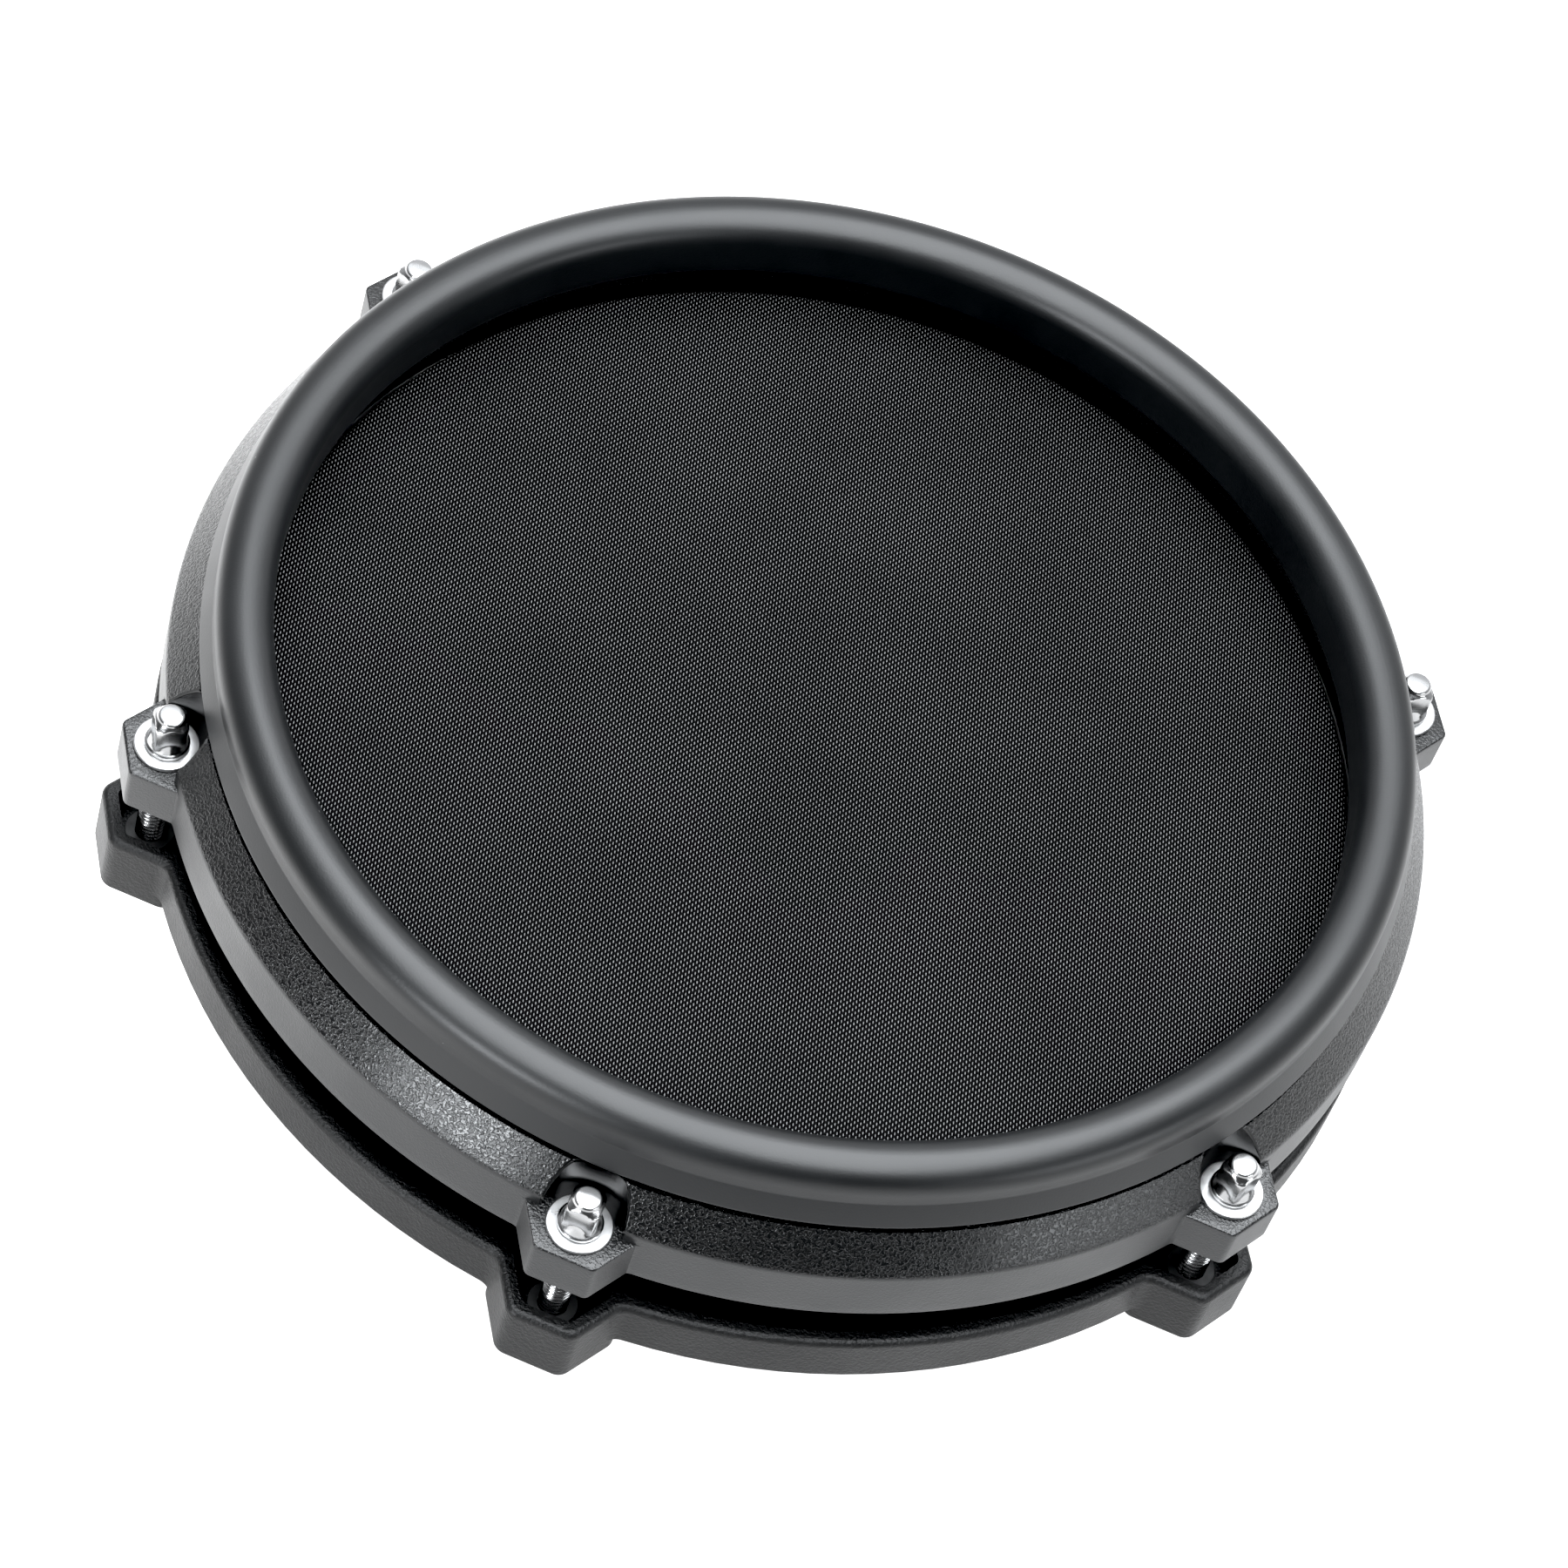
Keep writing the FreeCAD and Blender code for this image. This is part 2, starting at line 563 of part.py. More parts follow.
def clamp_screw():
    side = Vector(1, 0, 0)
    start = Vector(ROD_BORE_R + SHOE_T, SCREW_Y, CLAMP_Z)
    shank = rod_along(start, side, SCREW_R, KNOB_X - start.x + 9)
    tip = Part.makeCone(SCREW_R - 0.8, SCREW_R + 0.2, 1.0, start, side)
    tip = tip.fuse(rod_along(start + side, side, SCREW_R + 0.2, 60))
    return shank.common(tip)


def clamp_knob():
    """Three-lobed thumb knob moulded on the end of the screw."""
    side = Vector(1, 0, 0)
    hub = rod_along(Vector(KNOB_X, 0, 0), side, 5.6, 3.0)
    grip = rod_along(Vector(KNOB_X + 2.9, 0, 0), side, 6.4, 9.1)
    pieces = [grip]
    for k in range(3):
        lobe = rod_along(Vector(KNOB_X + 2.9, 0, 5.0), side, 3.6, 9.1)
        lobe.rotate(ORIGIN, side, 120 * k + 60)
        pieces.append(lobe)
    knob = hub.multiFuse(pieces).removeSplitter()
    try_edges = [e for e in knob.Edges if abs(e.BoundBox.XMin - KNOB_X - 12.0) < 1e-3]
    knob = knob.makeFillet(0.9, try_edges)
    knob.translate(Vector(0, SCREW_Y, CLAMP_Z))
    return knob.cut(rod_along(Vector(KNOB_X - 1, SCREW_Y, CLAMP_Z), side, SCREW_R, 10.0))


# --- all pieces ---
export("base_shell", base_shell())
export("drum_collar", drum_collar())
export("threaded_inserts", threaded_inserts())
export("top_hoop", top_hoop())
export("rubber_rim", rubber_rim())
export("flesh_hoop", flesh_hoop())
export("mesh_head", mesh_head())
export("mesh_edge", mesh_edge())
for number, (rod, washer) in enumerate(zip(around(tension_rod()), around(rod_washer())), 1):
    export("tension_rod_%d" % number, rod)
    export("rod_washer_%d" % number, washer)

plate_top = BRIDGE_Z + BRIDGE_T
pad_top = plate_top + 2.0
brass_top = pad_top + 0.4
ceramic_top = brass_top + 0.3
export("sensor_bridge", sensor_bridge())
export("bridge_screws", bridge_screws())
export("piezo_pad", disc(12.5, plate_top, pad_top, 0.3))
export("head_piezo", disc(HEAD_PIEZO_R, pad_top, brass_top, 0))
export("head_piezo_ceramic", disc(9.0, brass_top, ceramic_top, 0))
export("trigger_cone", trigger_cone(ceramic_top + 0.1))

rim_pad_top = SHELL_T + 2.0
export("rim_piezo_pad", disc(10.0, SHELL_T, rim_pad_top, 0.3, 0, -62))
export("rim_piezo", disc(RIM_PIEZO_R, rim_pad_top, rim_pad_top + 0.4, 0, 0, -62))

export("jack_body", jack_body())
export("jack_terminals", jack_terminals())
export("jack_washer", jack_washer())
export("jack_nut", jack_nut())
export("head_sensor_lead", head_sensor_lead(brass_top))
export("rim_sensor_lead", rim_sensor_lead(rim_pad_top + 0.4))

export("clamp_housing", clamp_housing())
export("clamp_housing_screws", clamp_housing_screws())
export("clamp_nut", clamp_nut())
export("clamp_shoe", clamp_shoe())
export("clamp_screw", clamp_screw())
export("clamp_knob", clamp_knob())
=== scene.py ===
import math

import bmesh
import bpy
import numpy as np
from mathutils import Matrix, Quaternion, Vector
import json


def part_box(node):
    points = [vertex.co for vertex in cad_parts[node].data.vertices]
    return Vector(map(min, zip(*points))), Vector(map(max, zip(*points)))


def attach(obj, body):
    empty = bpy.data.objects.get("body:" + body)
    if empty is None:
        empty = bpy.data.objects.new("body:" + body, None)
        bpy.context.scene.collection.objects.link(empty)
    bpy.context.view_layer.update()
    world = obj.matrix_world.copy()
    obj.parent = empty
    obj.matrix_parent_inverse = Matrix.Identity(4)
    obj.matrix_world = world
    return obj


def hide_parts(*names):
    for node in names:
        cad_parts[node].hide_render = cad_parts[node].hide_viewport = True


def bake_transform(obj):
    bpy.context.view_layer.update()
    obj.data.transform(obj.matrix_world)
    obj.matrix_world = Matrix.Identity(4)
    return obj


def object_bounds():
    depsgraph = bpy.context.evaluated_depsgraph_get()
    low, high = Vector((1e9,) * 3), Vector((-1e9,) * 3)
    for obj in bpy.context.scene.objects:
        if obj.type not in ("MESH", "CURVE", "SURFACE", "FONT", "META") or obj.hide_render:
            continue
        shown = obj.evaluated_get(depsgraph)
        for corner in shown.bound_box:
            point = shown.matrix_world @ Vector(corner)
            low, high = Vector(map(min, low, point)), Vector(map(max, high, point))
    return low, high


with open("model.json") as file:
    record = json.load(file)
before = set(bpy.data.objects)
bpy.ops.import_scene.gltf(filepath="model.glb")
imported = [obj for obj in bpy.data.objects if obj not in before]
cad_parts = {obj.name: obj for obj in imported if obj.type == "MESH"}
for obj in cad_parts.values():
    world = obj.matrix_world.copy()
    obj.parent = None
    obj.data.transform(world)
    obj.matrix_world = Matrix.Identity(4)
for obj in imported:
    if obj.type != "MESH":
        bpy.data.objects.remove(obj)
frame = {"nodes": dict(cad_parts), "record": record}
cad_low, cad_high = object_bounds()
MM = 0.001

# --- dimensions in mm ---
WALL_R, LEDGE_Z, HOOP_LOW = 119.0, 54.0, 41.8
SHOULDER_R, SHOULDER_Z, SEAT_Z = 113.9, 61.3, 62.6
LUG_R, LUGS, EAR_FLAT, EAR_FACE, EAR_TOP = 119.4, 6, 9.9, 126.8, 51.7
EDGE_ROUND, BROW_ROUND, WALL_ROUND = 0.6, 0.55, 0.5
POCKET_R, POCKET_SKIN = 7.5, 0.6
ROD_HOLE_R, ROD_HOLE_LOW, ROD_HOLE_TOP = 3.1, 40.0, 52.4
UPSTAND_OUT_R, UPSTAND_IN_R, UPSTAND_TOP, FOOT_Z = 111.3, 104.7, 70.5, 62.0
RIM_TOP, RIM_ROUND = 75.5, 5.35
ROD_R, ROD_END, ROD_PITCH, ROD_POINTS = 2.75, 19.5, 25.4 / 24, 32
THREAD_TOP, THREAD_DEPTH, HEAD_HALF, HEAD_TOP = 46.0, 0.42, 3.0, 61.3
WASHER_R, WASHER_HOLE_R, WASHER_TOP = 6.0, 3.05, 52.6
CLAMP_Y, CLAMP_Z, CLAMP_HOLE_R = 108.0, 10.2, 3.05
KNOB_POINTS = 120

# --- the head: thread pitches in metres, turn of the warp in degrees ---
WARP_PITCH, WEFT_PITCH = 0.000568, 0.000607
WARP_TURN = 73.2

# --- camera and light ---
AIM = Vector((-0.0058, -0.0114, 0.0502))
AZIMUTH, ELEVATION, ROLL = 333.74, 52.61, 19.69
DISTANCE, LENS = 1.0026, 124.72
BLACK_LEVEL = 0.009
COOL = (0.93, 0.965, 1.0)
LOW_LIGHTS = ("low_left", -28, 0.36, 0.42, 38), ("low_right", 65, 0.21, 0.6, 8)


def link(obj):
    bpy.context.scene.collection.objects.link(obj)
    return obj


def camera():
    a, e = math.radians(AZIMUTH), math.radians(ELEVATION)
    back = Vector((math.sin(a) * math.cos(e), -math.cos(a) * math.cos(e), math.sin(e)))
    cam = link(bpy.data.objects.new("camera", bpy.data.cameras.new("camera")))
    cam.data.lens = LENS
    cam.data.sensor_width = 36.0
    cam.data.clip_start, cam.data.clip_end = 0.01, 20.0
    cam.location = AIM + back * DISTANCE
    turn = Quaternion((0, 0, 1), math.radians(ROLL))
    cam.rotation_mode = "QUATERNION"
    cam.rotation_quaternion = (-back).to_track_quat("-Z", "Y") @ turn
    bpy.context.scene.camera = cam


def softbox(name, at, turn, width, height, radiance):
    light = bpy.data.lights.new(name, "AREA")
    light.shape = "RECTANGLE"
    light.size, light.size_y = width, height
    light.energy = radiance * math.pi * width * height
    light.color = COOL
    lamp = link(bpy.data.objects.new(name, light))
    lamp.location = at
    lamp.rotation_mode = "QUATERNION"
    lamp.rotation_quaternion = turn


def side_direction():
    """Level direction to the camera's right."""
    return Vector((math.cos(math.radians(AZIMUTH)), math.sin(math.radians(AZIMUTH)), 0))


def front_direction(swing=0.0):
    """Level direction from the object to the camera, swung about the upright axis by some degrees."""
    a = math.radians(AZIMUTH + swing)
    return Vector((math.sin(a), -math.cos(a), 0))


def surroundings():
    """Pale walls round the object: bright behind it, dark on the camera's side."""
    world = bpy.data.worlds.new("studio")
    bpy.context.scene.world = world
    world.use_nodes = True
    nodes, links = world.node_tree.nodes, world.node_tree.links
    background = nodes["Background"]
    background.inputs["Color"].default_value = (0.95, 0.97, 1.0, 1)
    dot = nodes.new("ShaderNodeVectorMath")
    dot.operation = "DOT_PRODUCT"
    dot.inputs[1].default_value = -front_direction()
    links.new(nodes.new("ShaderNodeTexCoord").outputs["Generated"], dot.inputs[0])
    level = nodes.new("ShaderNodeMapRange")
    level.inputs["From Min"].default_value = -0.5
    level.inputs["From Max"].default_value = 0.9
    level.inputs["To Min"].default_value = 0.08
    level.inputs["To Max"].default_value = 1.25
    links.new(dot.outputs["Value"], level.inputs["Value"])
    links.new(level.outputs["Result"], background.inputs["Strength"])


def studio():
    """Large softbox close over the object, a wide scrim round it, and two small lights low at the sides."""
    surroundings()
    view = bpy.context.scene.view_settings
    view.view_transform = "Standard"
    view.use_curve_mapping = True
    view.curve_mapping.black_level = (BLACK_LEVEL,) * 3
    down = Quaternion((0, 0, 1), math.radians(AZIMUTH - 90))
    over = front_direction() * 0.04 + side_direction() * 0.02 + Vector((0, 0, 0.5))
    softbox("softbox", over, down, 0.7, 0.6, 8.6)
    softbox("scrim", (0, 0, 0.53), down, 1.3, 1.2, 1.3)
    for name, swing, height, width, radiance in LOW_LIGHTS:
        at = front_direction(swing) * 1.2 + Vector((0, 0, height))
        softbox(name, at, (Vector((0, 0, 0.05)) - at).to_track_quat("-Z", "Y"), width, 0.2, radiance)


class Graph:
    """Node graph of one material, with its nodes made as they are needed."""

    def __init__(self, name, **constants):
        self.material = bpy.data.materials.new(name)
        self.material.use_nodes = True
        self.tree = self.material.node_tree
        self.shader = self.tree.nodes["Principled BSDF"]
        self.place = self.add("TexCoord").outputs["Object"]
        for key, value in constants.items():
            self.shader.inputs[key.replace("_", " ")].default_value = value

    def put(self, socket, value):
        if isinstance(value, bpy.types.NodeSocket):
            self.tree.links.new(value, socket)
        else:
            socket.default_value = value

    def add(self, kind, inputs=None, **settings):
        node = self.tree.nodes.new("ShaderNode" + kind)
        for key, value in settings.items():
            setattr(node, key, value)
        for key, value in (inputs or {}).items():
            self.put(node.inputs[key], value)
        return node

    def math(self, operation, *values, clamp=False):
        node = self.add("Math", operation=operation, use_clamp=clamp)
        for k, value in enumerate(values):
            self.put(node.inputs[k], value)
        return node.outputs[0]

    def noise(self, scale, detail=2.0, roughness=0.5, place=None, distortion=0.0):
        inputs = {"Vector": place or self.place, "Scale": scale, "Detail": detail,
                  "Roughness": roughness, "Distortion": distortion}
        return self.add("TexNoise", inputs).outputs["Fac"]

    def cells(self, scale):
        return self.add("TexVoronoi", {"Vector": self.place, "Scale": scale}).outputs["Distance"]

    def ramp(self, value, low, high, to_low=0.0, to_high=1.0):
        inputs = {"Value": value, "From Min": low, "From Max": high, "To Min": to_low, "To Max": to_high}
        return self.add("MapRange", inputs, clamp=True).outputs["Result"]

    def mix(self, share, one, other):
        node = self.add("Mix", data_type="RGBA")
        self.put(node.inputs["Factor"], share)
        self.put(node.inputs["A"], one)
        self.put(node.inputs["B"], other)
        return node.outputs["Result"]

    def blend(self, share, one, other):
        node = self.add("Mix", data_type="FLOAT")
        self.put(node.inputs[0], share)
        self.put(node.inputs[2], one)
        self.put(node.inputs[3], other)
        return node.outputs[0]

    def bump(self, height, distance, strength=1.0):
        inputs = {"Height": height, "Distance": distance, "Strength": strength}
        return self.add("Bump", inputs).outputs["Normal"]

    def upward(self):
        """Height part of the surface's normal, from -1 to 1."""
        normal = self.add("NewGeometry").outputs["Normal"]
        return self.add("SeparateXYZ", {"Vector": normal}).outputs["Z"]

    def radius(self):
        """Distance from the part's axis."""
        parts = self.add("SeparateXYZ", {"Vector": self.place}).outputs
        x2 = self.math("MULTIPLY", parts["X"], parts["X"])
        y2 = self.math("MULTIPLY", parts["Y"], parts["Y"])
        return self.math("SQRT", self.math("ADD", x2, y2))

    def done(self, **outputs):
        for key, value in outputs.items():
            self.put(self.shader.inputs[key.replace("_", " ")], value)
        return self.material


def grey(level, tint=0.0):
    """Neutral colour, cooler where tint is above nothing."""
    return (level * (1 - tint), level, level * (1 + tint), 1.0)


# --- materials ---
def pocket_shade_mask(g, reach):
    """1 on the walls of the hoop's six round pockets, where the hoop's colour gets painted shade, 0
    elsewhere.
    """
    parts = g.add("SeparateXYZ", {"Vector": g.place}).outputs
    swing = g.math("PINGPONG", g.math("ARCTAN2", parts["Y"], parts["X"]), math.pi / LUGS)
    out = g.math("SUBTRACT", g.math("MULTIPLY", reach, g.math("COSINE", swing)), LUG_R * MM)
    aside = g.math("MULTIPLY", reach, g.math("SINE", swing))
    off_rod = g.math("SQRT", g.math("ADD", g.math("MULTIPLY", out, out), g.math("MULTIPLY", aside, aside)))
    behind = g.ramp(out, -0.0035, -0.0025, 1.0, 0.0)
    above = g.ramp(parts["Z"], (EAR_TOP + 0.2) * MM, (EAR_TOP + 0.5) * MM)
    near = g.ramp(off_rod, (POCKET_R + 0.3) * MM, (POCKET_R + 0.5) * MM, 1.0, 0.0)
    return g.math("MULTIPLY", g.math("MAXIMUM", behind, above), near)


def hoop_plastic():
    """Moulded plastic: satin sides, leather grain on what faces up outside, shiny pockets and inner lip; the
    pocket walls are painted near black as painted shade, and the inner lip is darker too.
    """
    g = Graph("hoop_plastic", IOR=1.5)
    reach = g.radius()
    top = g.ramp(g.upward(), 0.25, 0.45)
    beyond_seat = g.ramp(reach, (UPSTAND_OUT_R - 0.3) * MM, (UPSTAND_OUT_R - 0.1) * MM)
    lip = g.ramp(reach, (UPSTAND_IN_R + 0.3) * MM, (UPSTAND_IN_R + 0.9) * MM, 1.0, 0.0)
    pocket = pocket_shade_mask(g, reach)
    grained = g.math("MULTIPLY", g.math("MULTIPLY", top, beyond_seat), g.math("SUBTRACT", 1.0, pocket))
    gloss_and_pocket_shade = g.math("MAXIMUM", pocket, lip)
    coarse = g.noise(1900, 1.5, 0.5, distortion=0.5)
    pits = g.ramp(coarse, 0.4, 0.58)
    leather = g.math("ADD", pits, g.math("MULTIPLY", g.noise(4200, 1.0), 0.3))
    satin = g.noise(2300, 2.0, 0.6)
    height = g.blend(grained, g.math("MULTIPLY", satin, 2.2), leather)
    height = g.math("MULTIPLY", height, g.math("SUBTRACT", 1.0, gloss_and_pocket_shade))
    normal = g.bump(height, 0.00004)
    wear = g.noise(60, 4.0, 0.6)
    rough_side = g.ramp(wear, 0.3, 0.7, 0.38, 0.47)
    rough_top = g.ramp(pits, 0.0, 1.0, 0.3, 0.2)
    rough = g.blend(gloss_and_pocket_shade, g.blend(grained, rough_side, rough_top), 0.16)
    colour = g.mix(g.ramp(wear, 0.35, 0.7), grey(0.004, 0.05), grey(0.0065, 0.05))
    colour = g.mix(grained, colour, g.mix(pits, grey(0.0005), grey(0.0025, 0.05)))
    # painted shade: the pocket walls are painted near black, and the shiny inner lip gets the same dark
    # colour
    colour = g.mix(gloss_and_pocket_shade, colour, grey(0.0008))
    return g.done(Base_Color=colour, Roughness=rough, Normal=normal)


def shell_plastic():
    """Moulded plastic with a fine spark-eroded texture."""
    g = Graph("shell_plastic", IOR=1.37)
    coarse = g.ramp(g.noise(1500, 2.0, 0.6), 0.38, 0.62)
    fine = g.noise(3600, 1.0)
    height = g.math("ADD", g.math("MULTIPLY", coarse, 0.6), g.math("MULTIPLY", fine, 0.4))
    wear = g.noise(45, 4.0, 0.6)
    colour = g.mix(g.ramp(wear, 0.35, 0.7), grey(0.0009), grey(0.002))
    colour = g.mix(g.math("MULTIPLY", coarse, 0.6), grey(0.0004), colour)
    rough = g.ramp(wear, 0.3, 0.7, 0.4, 0.5)
    return g.done(Base_Color=colour, Roughness=rough, Normal=g.bump(height, 0.00009))


def rim_rubber():
    """Soft rubber, satin, with a mould's faint mottling and a few specks of dust."""
    g = Graph("rim_rubber", IOR=1.45)
    mottle = g.noise(38, 5.0, 0.62)
    skin = g.noise(2400, 2.0, 0.6)
    dust_cell = g.cells(150)
    dust = g.ramp(dust_cell, 0.018, 0.03, 1.0, 0.0)
    sparse = g.ramp(g.noise(55, 1.0), 0.6, 0.66)
    dust = g.math("MULTIPLY", dust, sparse)
    colour = g.mix(g.ramp(mottle, 0.3, 0.7), grey(0.0022, 0.1), grey(0.0036, 0.1))
    colour = g.mix(g.math("MULTIPLY", dust, 0.5), colour, grey(0.35))
    rough = g.ramp(mottle, 0.3, 0.72, 0.36, 0.43)
    rough = g.math("ADD", rough, g.math("MULTIPLY", dust, 0.3))
    return g.done(Base_Color=colour, Roughness=rough, Normal=g.bump(skin, 0.00003, 0.7))


def woven_mesh():
    """Plain weave of polyester monofilament: the warp rides high, the weft lies low between; the glints on
    the warp's crowns, and faint ones on the weft, are painted highlights in the colour.
    """
    g = Graph("woven_mesh", IOR=1.5)
    flat = g.add("UVMap", uv_map="weave").outputs["UV"]
    turn = math.radians(WARP_TURN)
    parts = g.add("SeparateXYZ", {"Vector": flat}).outputs
    wander = g.noise(90, 2.0, 0.5)
    drift = g.math("MULTIPLY", g.math("SUBTRACT", wander, 0.5), 0.00018)

    def along(direction, pitch, shift):
        x = g.math("MULTIPLY", parts["X"], math.cos(direction) / pitch)
        y = g.math("MULTIPLY", parts["Y"], math.sin(direction) / pitch)
        moved = g.math("MULTIPLY", drift, shift / pitch)
        return g.math("ADD", g.math("ADD", x, y), g.math("ADD", moved, 1000.0))

    across = along(turn - math.pi / 2, WARP_PITCH, 1.0)
    down = along(turn, WEFT_PITCH, -0.6)

    def thread(cross, run, sign, width, lift, sway):
        """Height of the threads counted by cross that undulate along run, their roundness, and their wave."""
        number = g.math("FLOOR", cross)
        middle = g.math("SUBTRACT", g.math("FRACT", cross), 0.5)
        parity = g.math("MULTIPLY", number, math.pi)
        wave = g.math("SINE", g.math("ADD", g.math("MULTIPLY", run, math.pi), parity))
        share = g.math("DIVIDE", middle, width)
        inside = g.math("SUBTRACT", 1.0, g.math("MULTIPLY", share, share))
        dome = g.math("SQRT", g.math("MAXIMUM", inside, 0.0))
        raised = g.math("ADD", g.math("MULTIPLY", dome, 0.5), g.math("MULTIPLY", wave, sign * sway))
        present = g.math("GREATER_THAN", inside, 0.0)
        return g.math("MULTIPLY", g.math("ADD", raised, lift), present), dome, wave

    warp, warp_dome, warp_wave = thread(across, down, 1.0, 0.2, 1.1, 0.5)
    weft, weft_dome, weft_wave = thread(down, across, -1.0, 0.3, 0.85, 0.3)
    height = g.math("MAXIMUM", warp, weft)
    # painted highlight: bright colour on the warp where it crosses over, and a faint one on the weft's tops,
    # stand in for the threads' glints
    warp_glint = g.math("MULTIPLY", g.math("POWER", warp_dome, 1.3), g.ramp(warp_wave, -0.2, 0.55))
    low = g.math("MULTIPLY", weft_dome, g.ramp(weft_wave, 0.2, -0.8, 0.0, 0.02))
    painted_glint = g.math("MAXIMUM", warp_glint, low)
    patches = g.ramp(g.noise(26, 3.0, 0.6), 0.3, 0.7, 0.85, 1.15)
    threads = g.ramp(g.noise(1500, 1.0), 0.3, 0.7, 0.75, 1.25)
    painted_glint = g.math("MULTIPLY", g.math("MULTIPLY", painted_glint, patches), threads, clamp=True)
    # near black between the glints: the thread's own black, and painted shade in the gaps between threads,
    # where the real weave shows the dark inside
    colour = g.mix(painted_glint, grey(0.0003), grey(0.112))
    rough = g.ramp(painted_glint, 0.0, 1.0, 0.8, 0.4)
    normal = g.bump(height, 0.00011, 0.6)
    g.shader.inputs["Specular IOR Level"].default_value = 0.04
    return g.done(Base_Color=colour, Roughness=rough, Normal=normal)


def plated(name, level, rough, streak=(300, 300, 4000), tint=0.0):
    """Bright metal with fine polishing marks and faint stains."""
    g = Graph(name, Metallic=1.0)
    drawn = g.add("Mapping", {"Vector": g.place, "Scale": streak}).outputs["Vector"]
    marks = g.noise(1.0, 3.0, 0.6, drawn)
    stains = g.noise(220, 4.0, 0.6)
    colour = g.mix(g.ramp(stains, 0.35, 0.7), grey(level, tint), grey(level * 0.84, tint))
    roughness = g.math("ADD", g.ramp(stains, 0.3, 0.7, rough, rough * 1.5),
                       g.ramp(marks, 0.3, 0.7, 0.0, rough * 0.5))
    return g.done(Base_Color=colour, Roughness=roughness, Normal=g.bump(marks, 0.000004, 0.5))


def tinted_metal(name, light, dark, rough):
    g = Graph(name, Metallic=1.0)
    stains = g.noise(160, 5.0, 0.62)
    drawn = g.add("Mapping", {"Vector": g.place, "Scale": (90, 3000, 900)}).outputs["Vector"]
    lines = g.noise(1.0, 2.0, 0.5, drawn)
    colour = g.mix(g.ramp(stains, 0.3, 0.7), light, dark)
    return g.done(Base_Color=colour, Roughness=g.ramp(stains, 0.3, 0.7, rough, rough * 1.6),
                  Normal=g.bump(lines, 0.000006, 0.5))


def foam():
    """Open-cell foam."""
    g = Graph("foam", IOR=1.4)
    pores = g.cells(1700)
    big = g.cells(700)
    holes = g.math("MULTIPLY", g.ramp(pores, 0.1, 0.55), g.ramp(big, 0.05, 0.4))
    colour = g.mix(holes, grey(0.012), grey(0.06, 0.02))
    return g.done(Base_Color=colour, Roughness=g.ramp(holes, 0.0, 1.0, 1.0, 0.85),
                  Normal=g.bump(holes, 0.0003, 0.8))


def ceramic():
    g = Graph("ceramic", IOR=1.6)
    glaze = g.noise(400, 3.0)
    colour = g.mix(g.ramp(glaze, 0.3, 0.7), (0.62, 0.6, 0.52, 1), (0.7, 0.68, 0.6, 1))
    return g.done(Base_Color=colour, Roughness=g.ramp(glaze, 0.3, 0.7, 0.25, 0.4),
                  Normal=g.bump(g.noise(2500), 0.000008, 0.5))


def moulded(name, level, rough, grain, depth):
    """Plain moulded plastic or insulation with a fine skin."""
    g = Graph(name, IOR=1.5)
    skin = g.noise(grain, 3.0, 0.6)
    wear = g.noise(90, 4.0)
    colour = g.mix(g.ramp(wear, 0.35, 0.7), grey(level), grey(level * 1.2))
    return g.done(Base_Color=colour, Roughness=g.ramp(wear, 0.3, 0.7, rough, rough * 1.3),
                  Normal=g.bump(skin, depth, 0.6))


def paper_floor():
    g = Graph("floor", IOR=1.4)
    fibre = g.noise(60, 4.0, 0.6)
    colour = g.mix(fibre, grey(0.22), grey(0.25))
    # the floor glows: evenly near the object and fading further out, with a painted pool of light to the
    # object's left
    aside = g.add("VectorMath", {0: g.place, 1: -side_direction()}, operation="DOT_PRODUCT").outputs["Value"]
    painted_light_pool = g.math("MULTIPLY", g.ramp(aside, 0.075, 0.135, 0.0, 1.35), g.ramp(aside, 0.2, 0.3, 1.0, 0.0))
    glow_falloff = g.ramp(g.radius(), 0.28, 0.6, 1.05, 0.35)
    g.put(g.shader.inputs["Emission Strength"], g.math("ADD", glow_falloff, painted_light_pool))
    g.shader.inputs["Emission Color"].default_value = (1, 1, 1, 1)
    return g.done(Base_Color=colour, Roughness=g.ramp(fibre, 0.0, 1.0, 0.85, 0.95))


M = {
    "hoop_plastic": hoop_plastic(),
    "shell_plastic": shell_plastic(),
    "rim_rubber": rim_rubber(),
    "mesh": woven_mesh(),
    "rod_chrome": plated("rod_chrome", 0.42, 0.13),
    "washer_steel": plated("washer_steel", 0.5, 0.22, (700, 700, 700)),
    "aluminium": plated("aluminium", 0.62, 0.32, (200, 200, 3000)),
    "zinc_steel": plated("zinc_steel", 0.6, 0.28, (500, 500, 900), 0.03),
    "nickel": plated("nickel", 0.7, 0.16, (400, 900, 900), -0.02),
    "insert_steel": plated("insert_steel", 0.07, 0.4, (300, 300, 300)),
    "brass": tinted_metal("brass", (0.78, 0.55, 0.23, 1), (0.6, 0.4, 0.17, 1), 0.28),
    "foam": foam(),
    "ceramic": ceramic(),
    "jack_plastic": moulded("jack_plastic", 0.014, 0.36, 1800, 0.00002),
    "lead_insulation": moulded("lead_insulation", 0.016, 0.4, 1500, 0.00001),
    "knob_plastic": moulded("knob_plastic", 0.016, 0.42, 1900, 0.00005),
}


# --- mesh code ---
def finish_mesh(name, mesh, material, sharp=35.0):
    mesh.materials.append(M[material])
    mesh.shade_smooth()
    mesh.set_sharp_from_angle(angle=math.radians(sharp))
    return link(bpy.data.objects.new(name, mesh))


